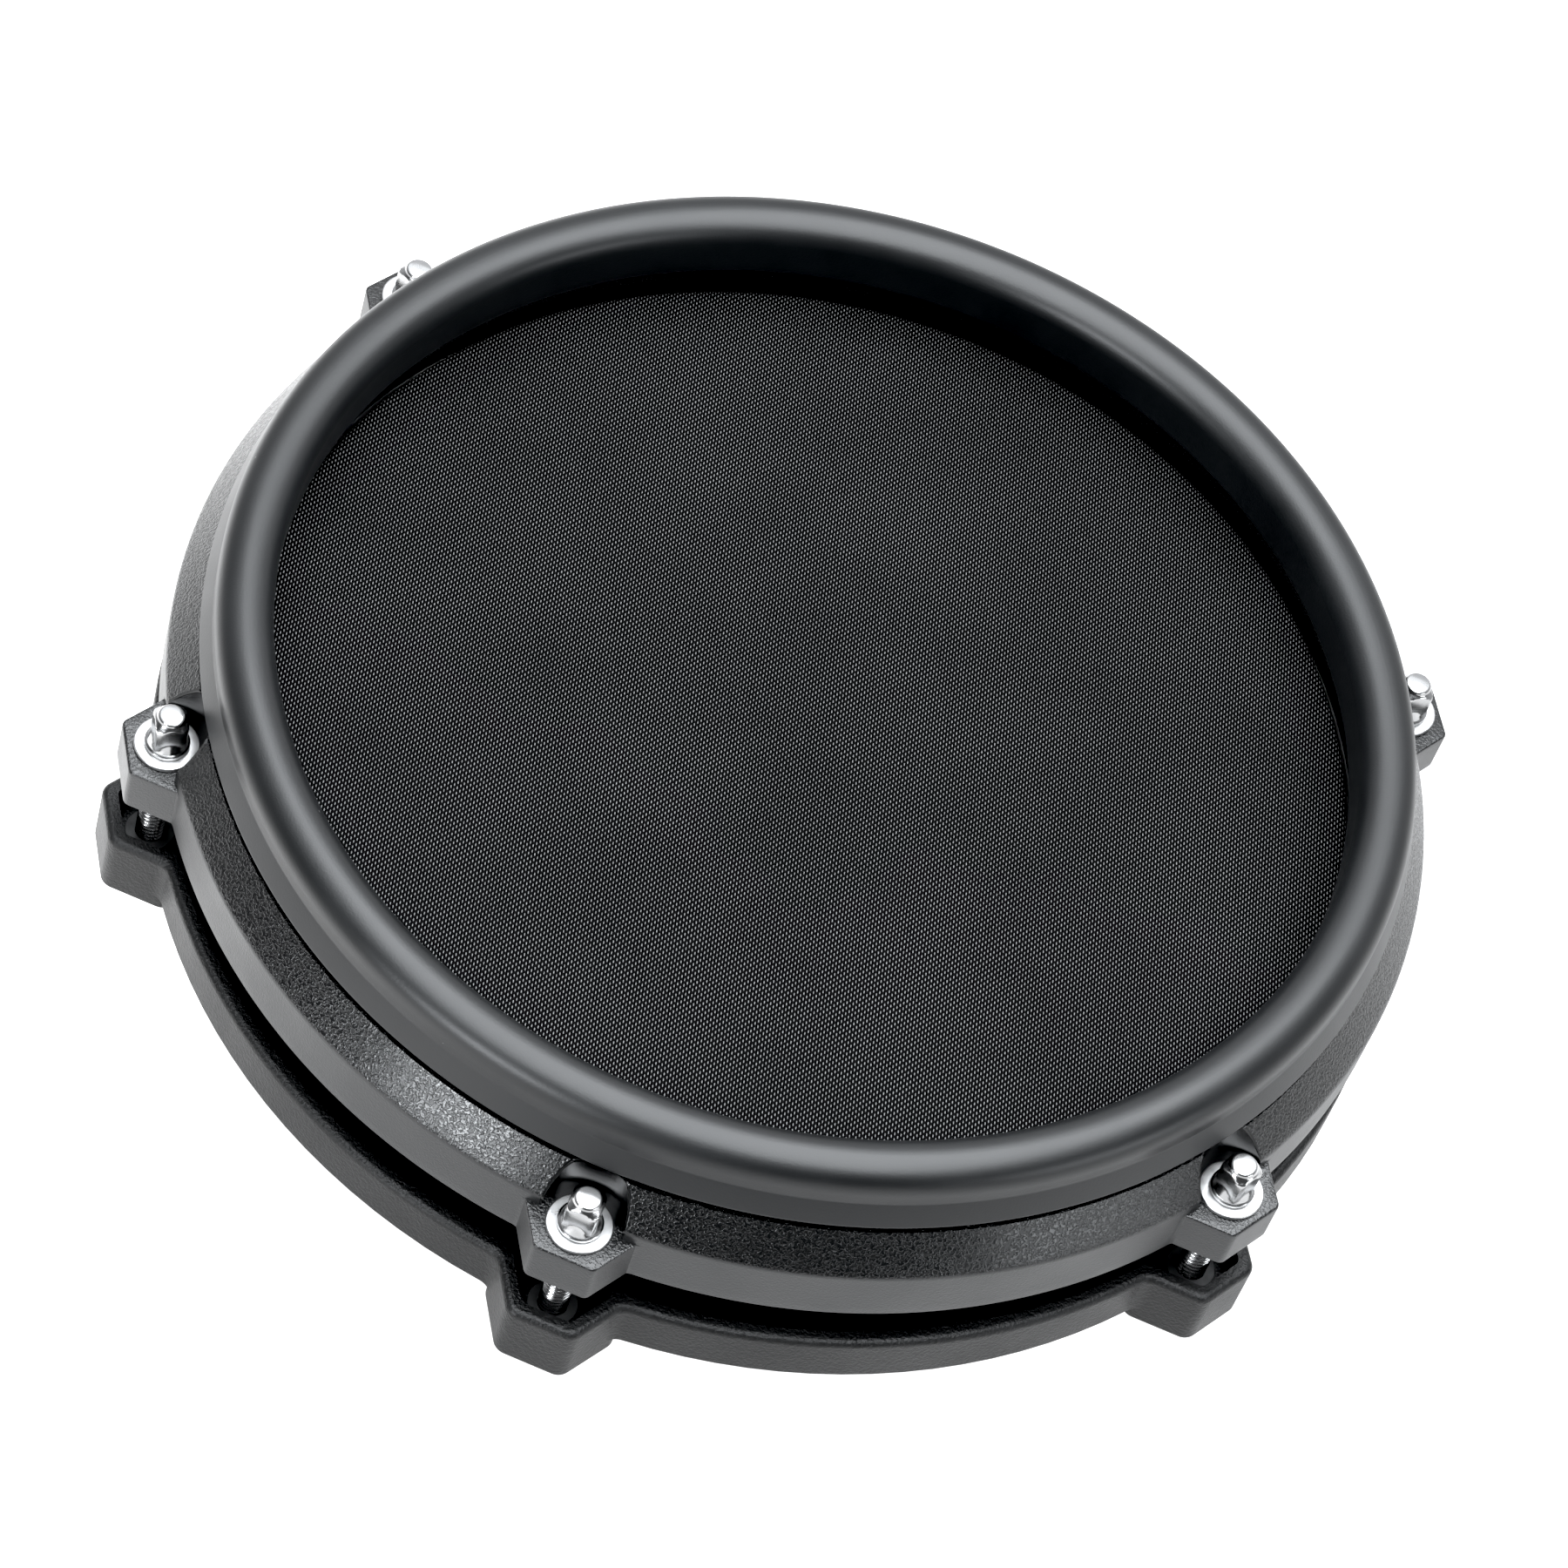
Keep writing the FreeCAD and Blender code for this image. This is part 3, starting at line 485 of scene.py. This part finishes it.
def clean(mesh):
    """Merge what coincides and turn every face outwards."""
    distance = 1e-6
    bm = bmesh.new()
    bm.from_mesh(mesh)
    bmesh.ops.remove_doubles(bm, verts=bm.verts, dist=distance)
    bmesh.ops.dissolve_degenerate(bm, edges=bm.edges, dist=distance)
    bmesh.ops.recalc_face_normals(bm, faces=bm.faces)
    bm.to_mesh(mesh)
    bm.free()


def grid(name, points, around=True, along=True):
    """Mesh over points[i][j]; it closes in i where around is true, and in j where along is."""
    points = np.asarray(points, float)
    rows, columns = points.shape[:2]
    i = np.arange(rows if around else rows - 1)
    j = np.arange(columns if along else columns - 1)
    i, j = np.meshgrid(i, j, indexing="ij")
    i, j = i.ravel(), j.ravel()
    i2, j2 = (i + 1) % rows, (j + 1) % columns
    faces = np.stack([i * columns + j, i2 * columns + j, i2 * columns + j2, i * columns + j2], 1)
    mesh = bpy.data.meshes.new(name)
    mesh.from_pydata(points.reshape(-1, 3).tolist(), [], faces.tolist())
    clean(mesh)
    return mesh


def rounded(corners, steps):
    """Outline (u, v) of a polygon of corners (u, v, radius), its corners rounded."""
    out = []
    count = len(corners)
    for k in range(count):
        here = np.array(corners[k][:2], float)
        radius = corners[k][2]
        if radius <= 0:
            out.append(here)
            continue
        back = np.array(corners[k - 1][:2], float) - here
        ahead = np.array(corners[(k + 1) % count][:2], float) - here
        back /= np.linalg.norm(back)
        ahead /= np.linalg.norm(ahead)
        half = math.acos(max(-1.0, min(1.0, float(back @ ahead)))) / 2
        reach = radius / math.tan(half)
        middle = back + ahead
        centre = here + middle / np.linalg.norm(middle) * radius / math.sin(half)
        a = here + back * reach - centre
        b = here + ahead * reach - centre
        full = math.acos(max(-1.0, min(1.0, float(a @ b) / radius ** 2)))
        for s in np.linspace(0, 1, steps):
            out.append(centre + (a * math.sin((1 - s) * full) + b * math.sin(s * full)) / math.sin(full))
    return np.array(out)


def ring_points(outline, turns, at=(0, 0)):
    """Points of an outline (radius, height) in mm, turned about an upright axis at (x, y)."""
    outline = np.asarray(outline, float)
    a = np.asarray(turns)[:, None]
    x = at[0] + outline[None, :, 0] * np.cos(a)
    y = at[1] + outline[None, :, 0] * np.sin(a)
    z = np.broadcast_to(outline[None, :, 1], x.shape)
    return np.stack([x, y, z], -1) * MM


def circle(count):
    return np.arange(count) * 2 * math.pi / count


def revolve(name, corners, material, count, at, steps):
    mesh = grid(name, ring_points(rounded(corners, steps), circle(count), at))
    return finish_mesh(name, mesh, material)


def smooth_min(a, b, k):
    h = np.clip(0.5 + 0.5 * (b - a) / k, 0, 1)
    return b + (a - b) * h - k * h * (1 - h)


def smooth_max(a, b, k):
    return -smooth_min(-a, -b, k)


def stand_for(obj, body, slot, *nodes):
    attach(obj, body)
    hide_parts(*nodes)
    return obj


def rubber_rim():
    """Round-topped rim pressed over the hoop's upstand."""
    corners = [(UPSTAND_OUT_R, SEAT_Z, 0), (114.4, SEAT_Z, 0.7), (112.2, 68.0, 1.2),
               (112.2, RIM_TOP, RIM_ROUND), (101.4, RIM_TOP, RIM_ROUND), (101.6, FOOT_Z, 0.8),
               (UPSTAND_IN_R, FOOT_Z, 0), (UPSTAND_IN_R, UPSTAND_TOP, 1.0),
               (UPSTAND_OUT_R, UPSTAND_TOP, 1.0)]
    outline = rounded(corners, 17)
    mesh = grid("rim_cover", ring_points(outline, circle(480)))
    rim = finish_mesh("rim_cover", mesh, "rim_rubber")
    return stand_for(rim, "hoop", "rim_rubber", "rubber_rim")


def shoulder_height(r):
    """Top of the hoop at a radius."""
    slope = LEDGE_Z + (WALL_R - r) * (SHOULDER_Z - LEDGE_Z) / (WALL_R - SHOULDER_R)
    return np.minimum(slope, SHOULDER_Z)


def ear_outline():
    """Hexagon of one ear, seen from above, with its middle on the X axis."""
    size = EAR_FLAT / math.cos(math.radians(30))
    centre = EAR_FACE - EAR_FLAT
    turns = [math.radians(30 + 60 * k) for k in range(6)]
    return rounded([(centre + size * math.cos(a), size * math.sin(a), 1.5) for a in turns], 9)


def ray(outline, turn, pick):
    """Radius at which a ray from the axis crosses an outline, the last one or the first."""
    a = outline
    b = np.roll(outline, -1, 0)
    n = np.array([-math.sin(turn), math.cos(turn)])
    da, db = a @ n, b @ n
    hit = (da * db < 0) | (da == 0)
    if not hit.any():
        return None
    t = da[hit] / (da[hit] - db[hit])
    p = a[hit] + (b[hit] - a[hit]) * t[:, None]
    return float(pick(np.hypot(p[:, 0], p[:, 1])))


def hoop_turns(outline):
    """Angles of one sixth of the hoop, dense where the ear and its pocket need them."""
    edge = math.acos(POCKET_R / LUG_R)
    swing = np.linspace(-edge, edge, 45)
    turns = list(np.arctan2(POCKET_R * np.sin(swing), LUG_R - POCKET_R * np.cos(swing)))
    polar = np.arctan2(outline[:, 1], outline[:, 0])
    turns += list(polar[np.hypot(outline[:, 0], outline[:, 1]) > WALL_R - 3])
    turns += list(np.radians(np.linspace(-6.5, 6.5, 27)))
    turns += list(np.radians(np.arange(-30, -6.5, 1.0))) + list(np.radians(np.arange(29.0, 6.5, -1.0)))
    turns = np.array(sorted(turns))
    return turns[np.insert(np.diff(turns) > 2e-5, 0, True)]


def channel_wall(z):
    """Radius of the hoop's outer wall on its inside, at a height."""
    return 115.4 + 0.8 * (55.4 - z) / (55.4 - HOOP_LOW)


def hoop_section(turn, outline):
    """Outline (radius, height) of the hoop at one angle from an ear's middle."""
    outer = ray(outline, turn, np.max)
    inner = ray(outline, turn, np.min)
    ear = outer is not None
    out_r = max(WALL_R, outer) if ear else WALL_R
    reach = LUG_R * math.sin(turn)
    back_r = WALL_R
    if abs(reach) < POCKET_R:
        back_r = min(WALL_R, LUG_R * math.cos(turn) - math.sqrt(POCKET_R ** 2 - reach ** 2))
    quarter = np.radians(np.linspace(0, 90, 6))
    low = [(out_r - EDGE_ROUND * (1 - math.sin(q)), HOOP_LOW + EDGE_ROUND * (1 - math.cos(q)))
           for q in quarter]
    side = [(out_r, z) for z in (44.5, 47.5, 50.0)]
    fillet = min(BROW_ROUND, out_r - WALL_R)
    brow = [(out_r - fillet * (1 - math.cos(q)), EAR_TOP - BROW_ROUND * (1 - math.sin(q))) for q in quarter]
    edge = out_r - fillet
    deck = [(edge + (back_r - edge) * s, EAR_TOP) for s in (0.33, 0.67, 1.0)]
    top = float(shoulder_height(back_r))
    riser_top = top - WALL_ROUND
    riser = [(back_r, EAR_TOP + (riser_top - EAR_TOP) * s) for s in (0.04, 0.3, 0.7, 0.95, 1.0)]
    r_on = back_r - 0.42
    z_on = float(shoulder_height(r_on))
    p0, p1, p2 = np.array([back_r, riser_top]), np.array([back_r, top]), np.array([r_on, z_on])
    turn_over = [tuple((1 - s) ** 2 * p0 + 2 * s * (1 - s) * p1 + s * s * p2) for s in (0.25, 0.5, 0.75, 1.0)]
    slope = []
    for k, r in enumerate((117.6, 116.4, 115.2, 114.3, 113.9, 113.2, 112.4)):
        r = min(r, r_on - 0.01 * (k + 1))
        slope.append((r, float(shoulder_height(r))))
    slope.append((min(112.2, r_on - 0.08), SEAT_Z))
    inside = rounded([(UPSTAND_OUT_R, SEAT_Z, 0), (UPSTAND_OUT_R, UPSTAND_TOP, 1.0),
                      (UPSTAND_IN_R, UPSTAND_TOP, 1.0), (UPSTAND_IN_R, FOOT_Z, 0), (102.2, FOOT_Z, 0.5),
                      (104.8, 53.4, 0.6), (106.3, 53.4, 0), (106.5, 48.5, 0.4), (111.6, 48.5, 0.4),
                      (112.0, 57.2, 0.8), (115.4, 55.4, 0.8), (116.2, HOOP_LOW, 0)], 6)
    skin_r = back_r - POCKET_SKIN
    inside = [(min(r, skin_r) if z > EAR_TOP - POCKET_SKIN else r, z) for r, z in inside[:-1]]
    root = min(channel_wall(EAR_TOP), skin_r)
    foot = HOOP_LOW + WALL_ROUND
    inner_r = channel_wall(foot)
    root_in = root
    if ear:
        inner_r = min(inner_r, max(113.0, inner))
        root_in = min(channel_wall(EAR_TOP), inner_r)
    shelf = EAR_TOP - POCKET_SKIN if back_r < WALL_R else EAR_TOP
    inside += [(root, shelf), (root_in, shelf), (inner_r, foot), (inner_r + WALL_ROUND, HOOP_LOW)]
    return low + side + brow + deck + riser + turn_over + slope + inside


def cylinder(name, x, y, radius, low, high):
    outline = [(0, low), (radius, low), (radius, high), (0, high)]
    return grid(name, ring_points(outline, circle(48), (x, y)), True, False)


def lug_place(k):
    """Angle and place (x, y) in mm of a lug's middle."""
    a = k * 2 * math.pi / LUGS
    return a, LUG_R * math.cos(a), LUG_R * math.sin(a)


def rod_holes():
    """One object of six cylinders, to cut the rods' holes with."""
    drills = []
    for k in range(LUGS):
        x, y = lug_place(k)[1:]
        drills.append(cylinder("drill", x, y, ROD_HOLE_R, ROD_HOLE_LOW, ROD_HOLE_TOP))
    return link(bpy.data.objects.new("drill", joined("drill", drills)))


def top_hoop():
    """The hoop in one piece: a sixth of it worked out, turned six times, and drilled for the rods."""
    outline = ear_outline()
    sixth = hoop_turns(outline)
    sections = np.array([hoop_section(t, outline) for t in sixth])
    points = []
    r, z = sections[..., 0], sections[..., 1]
    for k in range(LUGS):
        a = (sixth + lug_place(k)[0])[:, None]
        points.append(np.stack([r * np.cos(a), r * np.sin(a), z], -1) * MM)
    hoop = link(bpy.data.objects.new("hoop_ring", grid("hoop_ring", np.concatenate(points))))
    drill = rod_holes()
    cut = hoop.modifiers.new("holes", "BOOLEAN")
    cut.operation, cut.solver, cut.object = "DIFFERENCE", "EXACT", drill
    bpy.context.view_layer.update()
    made = bpy.data.meshes.new_from_object(hoop.evaluated_get(bpy.context.evaluated_depsgraph_get()))
    bpy.data.objects.remove(hoop)
    bpy.data.objects.remove(drill)
    made.name = "hoop_ring"
    made.materials.clear()
    return stand_for(finish_mesh("hoop_ring", made, "hoop_plastic", 32.0), "hoop", "hoop_plastic", "top_hoop")


def joined(name, meshes):
    bm = bmesh.new()
    for mesh in meshes:
        bm.from_mesh(mesh)
    mesh = bpy.data.meshes.new(name)
    bm.to_mesh(mesh)
    bm.free()
    return mesh


def mesh_sheet():
    """The head: flat over the playing area, rolled over the collar and down to its own hoop."""
    under, over = 53.55, 54.0
    top = rounded([(0.001, over, 0), (104.25, over, 2.0), (104.45, 49.4, 2.0), (106.4, 45.9, 0),
                   (106.0, 45.65, 0), (103.95, 49.2, 2.0), (103.75, under, 1.5), (0.001, under, 0)], 9)
    radii = np.linspace(2.0, 101.0, 34)
    outline = np.concatenate([top[:1], [(r, over) for r in radii], top[1:-1],
                              [(r, under) for r in radii[::-1]], top[-1:]])
    mesh = grid("head_mesh", ring_points(outline, circle(300)), True, False)
    layer = mesh.uv_layers.new(name="weave")
    spots = np.zeros(len(mesh.loops), int)
    mesh.loops.foreach_get("vertex_index", spots)
    place = np.array([v.co for v in mesh.vertices])
    r = np.hypot(place[:, 0], place[:, 1])
    drop = np.clip(over * MM - 0.0005 - place[:, 2], 0, None)
    scale = (r + drop) / np.maximum(r, 1e-6)
    flat = place[:, :2] * scale[:, None]
    layer.data.foreach_set("uv", flat[spots].astype(np.float32).ravel())
    head = finish_mesh("head_mesh", mesh, "mesh", 60)
    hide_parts("mesh_head", "mesh_edge")
    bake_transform(head)


def threaded(radius, pitch, depth, low, high, plain_from, per_turn, count):
    """Rings (radius at each angle, height) of a shank with a helical thread."""
    turns = circle(count)
    heights = np.arange(low, high + 1e-6, pitch / per_turn)
    rings = []
    for z in heights:
        phase = ((z / pitch) - turns / (2 * math.pi)) % 1.0
        groove = depth * np.clip(np.abs(phase - 0.5) * 2.4 - 0.2, 0, 1)
        fade = min(1.0, max(0.0, (plain_from - z) / pitch)) if plain_from else 1.0
        start = min(1.0, (z - low) / 0.8)
        r = (radius - groove * fade) * (0.8 + 0.2 * start)
        rings.append((r, np.full(count, z)))
    return turns, rings


def rod_head(turns):
    """Rings of a rod above its washer: round flange, waist, and square head with a tapered tip."""
    square = HEAD_HALF / np.maximum(np.abs(np.cos(turns)), np.abs(np.sin(turns)))
    square = smooth_min(square, np.full(ROD_POINTS, 3.85), 0.35)
    stretches = (WASHER_TOP, 53.9, 9), (54.1, 57.2, 16), (57.5, 59.3, 5), (59.5, HEAD_TOP, 15)
    rings = []
    for z in np.concatenate([np.linspace(*stretch) for stretch in stretches]):
        if z < 53.72:
            t = z - WASHER_TOP
            collar = 4.15 - 0.25 * (1 - min(1, t / 0.3)) ** 2 - 0.35 * max(0.0, (t - 0.75) / 0.35) ** 2
        else:
            collar = np.interp(z, [53.72, 56.0, 56.8], [3.8, 2.9, 1.5])
        r = np.full(ROD_POINTS, collar)
        if z > 53.4:
            tip = np.interp(z, [59.3, 59.9, 60.5, 60.95, 61.15, HEAD_TOP], [3.85, 3.2, 2.68, 2.5, 2.36, 2.02])
            r = smooth_max(r, smooth_min(square, np.full(ROD_POINTS, tip), 0.12), 0.1)
        rings.append((r, np.full(ROD_POINTS, z)))
    return rings


def tension_rods():
    """Six rods with their washers."""
    turns, rings = threaded(ROD_R, ROD_PITCH, THREAD_DEPTH, ROD_END, WASHER_TOP - 0.4, THREAD_TOP, 12,
                            ROD_POINTS)
    rings += rod_head(turns)
    rings.insert(0, (np.full(ROD_POINTS, 0.001), rings[0][1]))
    rings.append((np.full(ROD_POINTS, 0.001), rings[-1][1]))
    section = [(WASHER_HOLE_R, EAR_TOP, 0.1), (WASHER_R, EAR_TOP, 0.2), (WASHER_R, WASHER_TOP, 0.3),
               (WASHER_HOLE_R, WASHER_TOP, 0.22)]
    for k in range(LUGS):
        a, cx, cy = lug_place(k)
        points = [np.stack([cx + r * np.cos(turns + a), cy + r * np.sin(turns + a), z], -1) * MM
                  for r, z in rings]
        rod = finish_mesh("rod_%d" % (k + 1), grid("rod", points, False, True), "rod_chrome", 28)
        stand_for(rod, "rod_%d" % (k + 1), "rod_chrome", "tension_rod_%d" % (k + 1))
        washer = revolve("washer_%d" % (k + 1), section, "washer_steel", 72, (cx, cy), 5)
        stand_for(washer, "hoop", "washer_steel", "rod_washer_%d" % (k + 1))


def clamp_ring(x, r, turns):
    """Points at x and at a radius or radii about the clamp's screw, whose axis lies along X."""
    return np.stack([np.broadcast_to(x, turns.shape), CLAMP_Y + r * np.cos(turns),
                     CLAMP_Z + r * np.sin(turns)], -1) * MM


def clamp_knob():
    """Three-lobed thumb knob about its screw."""
    low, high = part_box("clamp_knob")
    turns = circle(KNOB_POINTS)
    lobes = np.full(KNOB_POINTS, 6.4)
    for k in range(3):
        centre = math.radians(120 * k + 60)
        bearing = turns - centre
        inside = 3.6 ** 2 - (5.0 * np.sin(bearing)) ** 2
        outside = 5.0 * np.cos(bearing) + np.sqrt(np.maximum(inside, 0))
        reach = np.where((inside > 0) & (np.cos(bearing) > 0), outside, 0)
        lobes = smooth_max(lobes, reach, 0.8)
    flutes = 0.12 * np.cos(turns * 36)
    x0, x1 = low.x / MM, high.x / MM
    rows = [(x0, CLAMP_HOLE_R, 0), (x0, 5.2, 0), (x0 + 0.4, 5.6, 0), (x0 + 2.7, 5.6, 0), (x0 + 3.0, 0, 0.84),
            (x0 + 3.3, 0, 0.93), (x0 + 3.9, 0, 0.985)]
    rows += [(x, 0, 1.0) for x in np.linspace(x0 + 4.5, x1 - 1.5, 10)]
    rows += [(x1 - 0.9, 0, 0.985), (x1 - 0.45, 0, 0.95), (x1 - 0.12, 0, 0.89), (x1, 0, 0.8), (x1, 4.2, 0),
             (x1 - 0.35, 3.7, 0), (x1 - 0.35, 0.001, 0)]
    points = []
    for x, fixed, share in rows:
        r = np.full(KNOB_POINTS, fixed) if share == 0 else lobes * share + flutes * (share > 0.99)
        points.append(clamp_ring(x, r, turns))
    bore_end = x0 + 8.0
    points = [clamp_ring(bore_end, 0, turns), clamp_ring(bore_end, CLAMP_HOLE_R, turns)] + points
    knob = finish_mesh("thumb_knob", grid("thumb_knob", points, False, True), "knob_plastic", 40)
    stand_for(knob, "screw", "knob_plastic", "clamp_knob")


def clamp_screw():
    """Threaded screw that the knob turns."""
    low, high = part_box("clamp_screw")
    start, end = low.x / MM, high.x / MM
    turns, rings = threaded(3.0, 1.0, 0.4, start, end, None, 10, 28)
    rings.insert(0, (np.full(28, 0.001), rings[0][1]))
    rings.append((np.full(28, 0.001), rings[-1][1]))
    points = [clamp_ring(x, r, turns) for r, x in rings]
    screw = finish_mesh("thumb_screw", grid("thumb_screw", points, False, True), "zinc_steel", 28)
    stand_for(screw, "screw", "zinc_steel", "clamp_screw")


def soften(obj, size, seed):
    """Small uneven moves of a foam piece's surface, inwards only."""
    mesh = obj.data
    random = np.random.default_rng(seed)
    phases = random.uniform(0, 2 * math.pi, (5, 3))
    for vertex, normal in zip(mesh.vertices, [v.normal.copy() for v in mesh.vertices]):
        p = vertex.co / 0.0035
        wave = sum(math.sin(p.x * (k + 1) + a[0]) * math.sin(p.y * (k + 1) + a[1]) * math.cos(p.z + a[2])
                   for k, a in enumerate(phases)) / 5
        vertex.co -= normal * size * (0.5 + 0.5 * wave)


def foam_piece(name, node, corners, at=(0, 0)):
    piece = revolve(name, corners, "foam", 72, at, 6)
    soften(piece, 0.00018, 7)
    stand_for(piece, "shell", "foam", node)


def foam_pieces():
    low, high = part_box("trigger_cone")
    z0, z1 = low.z / MM, high.z / MM
    cone = [(0.001, z0, 0), (5, z0, 0), (13.0, z0, 0.8), (13.0, z0 + 2.5, 1.2), (9.5, (z0 + z1) / 2, 2),
            (6.0, z1, 1.5), (2.5, z1, 0), (0.001, z1, 0)]
    foam_piece("foam_cone", "trigger_cone", cone)
    for name, node in (("foam_pad_head", "piezo_pad"), ("foam_pad_rim", "rim_piezo_pad")):
        low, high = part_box(node)
        centre, r = (low + high) / 2 / MM, (high.x - low.x) / 2 / MM
        z0, z1 = low.z / MM, high.z / MM
        disc = [(0.001, z0, 0), (r / 2, z0, 0), (r, z0, 0.4), (r, z1, 0.4), (r / 2, z1, 0), (0.001, z1, 0)]
        foam_piece(name, node, disc, (centre.x, centre.y))


JACK_ANGLE, TAG_R, TAG_Z, LEAD_FLOOR, LEAD_R = 150.0, 66.3, 11.0, 3.6, 0.9
HEAD_LEAD_LENGTH, RIM_LEAD_LENGTH = 0.080, 0.114
LEADS = {
    "head_sensor_lead": ([(-15, 4, 34.9), (-23, 26, 34.9), (-29, 34, LEAD_FLOOR)], -5, HEAD_LEAD_LENGTH),
    "rim_sensor_lead": ([(-7, -62, 6.0), (-18, -56, 6.0), (-30, -46, LEAD_FLOOR), (-44, -10, LEAD_FLOOR)], 5,
                        RIM_LEAD_LENGTH),
}


def behind_socket(back, aside, height):
    """Point behind the socket's tags: back from them, and to the side of the socket's axis."""
    turn = math.radians(JACK_ANGLE)
    r = TAG_R - back
    return (r * math.cos(turn) - aside * math.sin(turn), r * math.sin(turn) + aside * math.cos(turn), height)


def sensor_leads():
    """The two thin leads inside the shell, from the sensors to the socket's tags."""
    for name, (start, aside, length) in LEADS.items():
        route = start + [behind_socket(17, aside, LEAD_FLOOR), behind_socket(8, aside, TAG_Z),
                         behind_socket(0, aside, TAG_Z)]
        curve = bpy.data.curves.new(name + "_wire", "CURVE")
        curve.dimensions = "3D"
        curve.bevel_depth = LEAD_R * MM
        curve.bevel_resolution = 5
        curve.resolution_u = 24
        curve.use_fill_caps = True
        spline = curve.splines.new("NURBS")
        spline.points.add(len(route) - 1)
        for point, place in zip(spline.points, route):
            point.co = (*(Vector(place) * MM), 1)
        spline.order_u = 3
        spline.use_endpoint_u = True
        curve.materials.append(M["lead_insulation"])
        wire = link(bpy.data.objects.new(name + "_wire", curve))
        stand_for(wire, "shell", "lead_insulation", name)


def carried_over():
    """Procedural materials for the CAD pieces that stay."""
    for part in frame["record"]["subparts"]:
        node = frame["nodes"][part["node"]]
        if not node.hide_render:
            node.data.materials.clear()
            node.data.materials.append(M[part["material_slot"]])


def floor():
    bm = bmesh.new()
    bmesh.ops.create_grid(bm, x_segments=2, y_segments=2, size=6)
    mesh = bpy.data.meshes.new("floor")
    bm.to_mesh(mesh)
    bm.free()
    mesh.materials.append(paper_floor())
    plane = link(bpy.data.objects.new("floor", mesh))
    plane.location.z = cad_low.z - 0.0002


camera()
studio()
floor()
rubber_rim()
top_hoop()
mesh_sheet()
tension_rods()
clamp_screw()
clamp_knob()
foam_pieces()
sensor_leads()
carried_over()
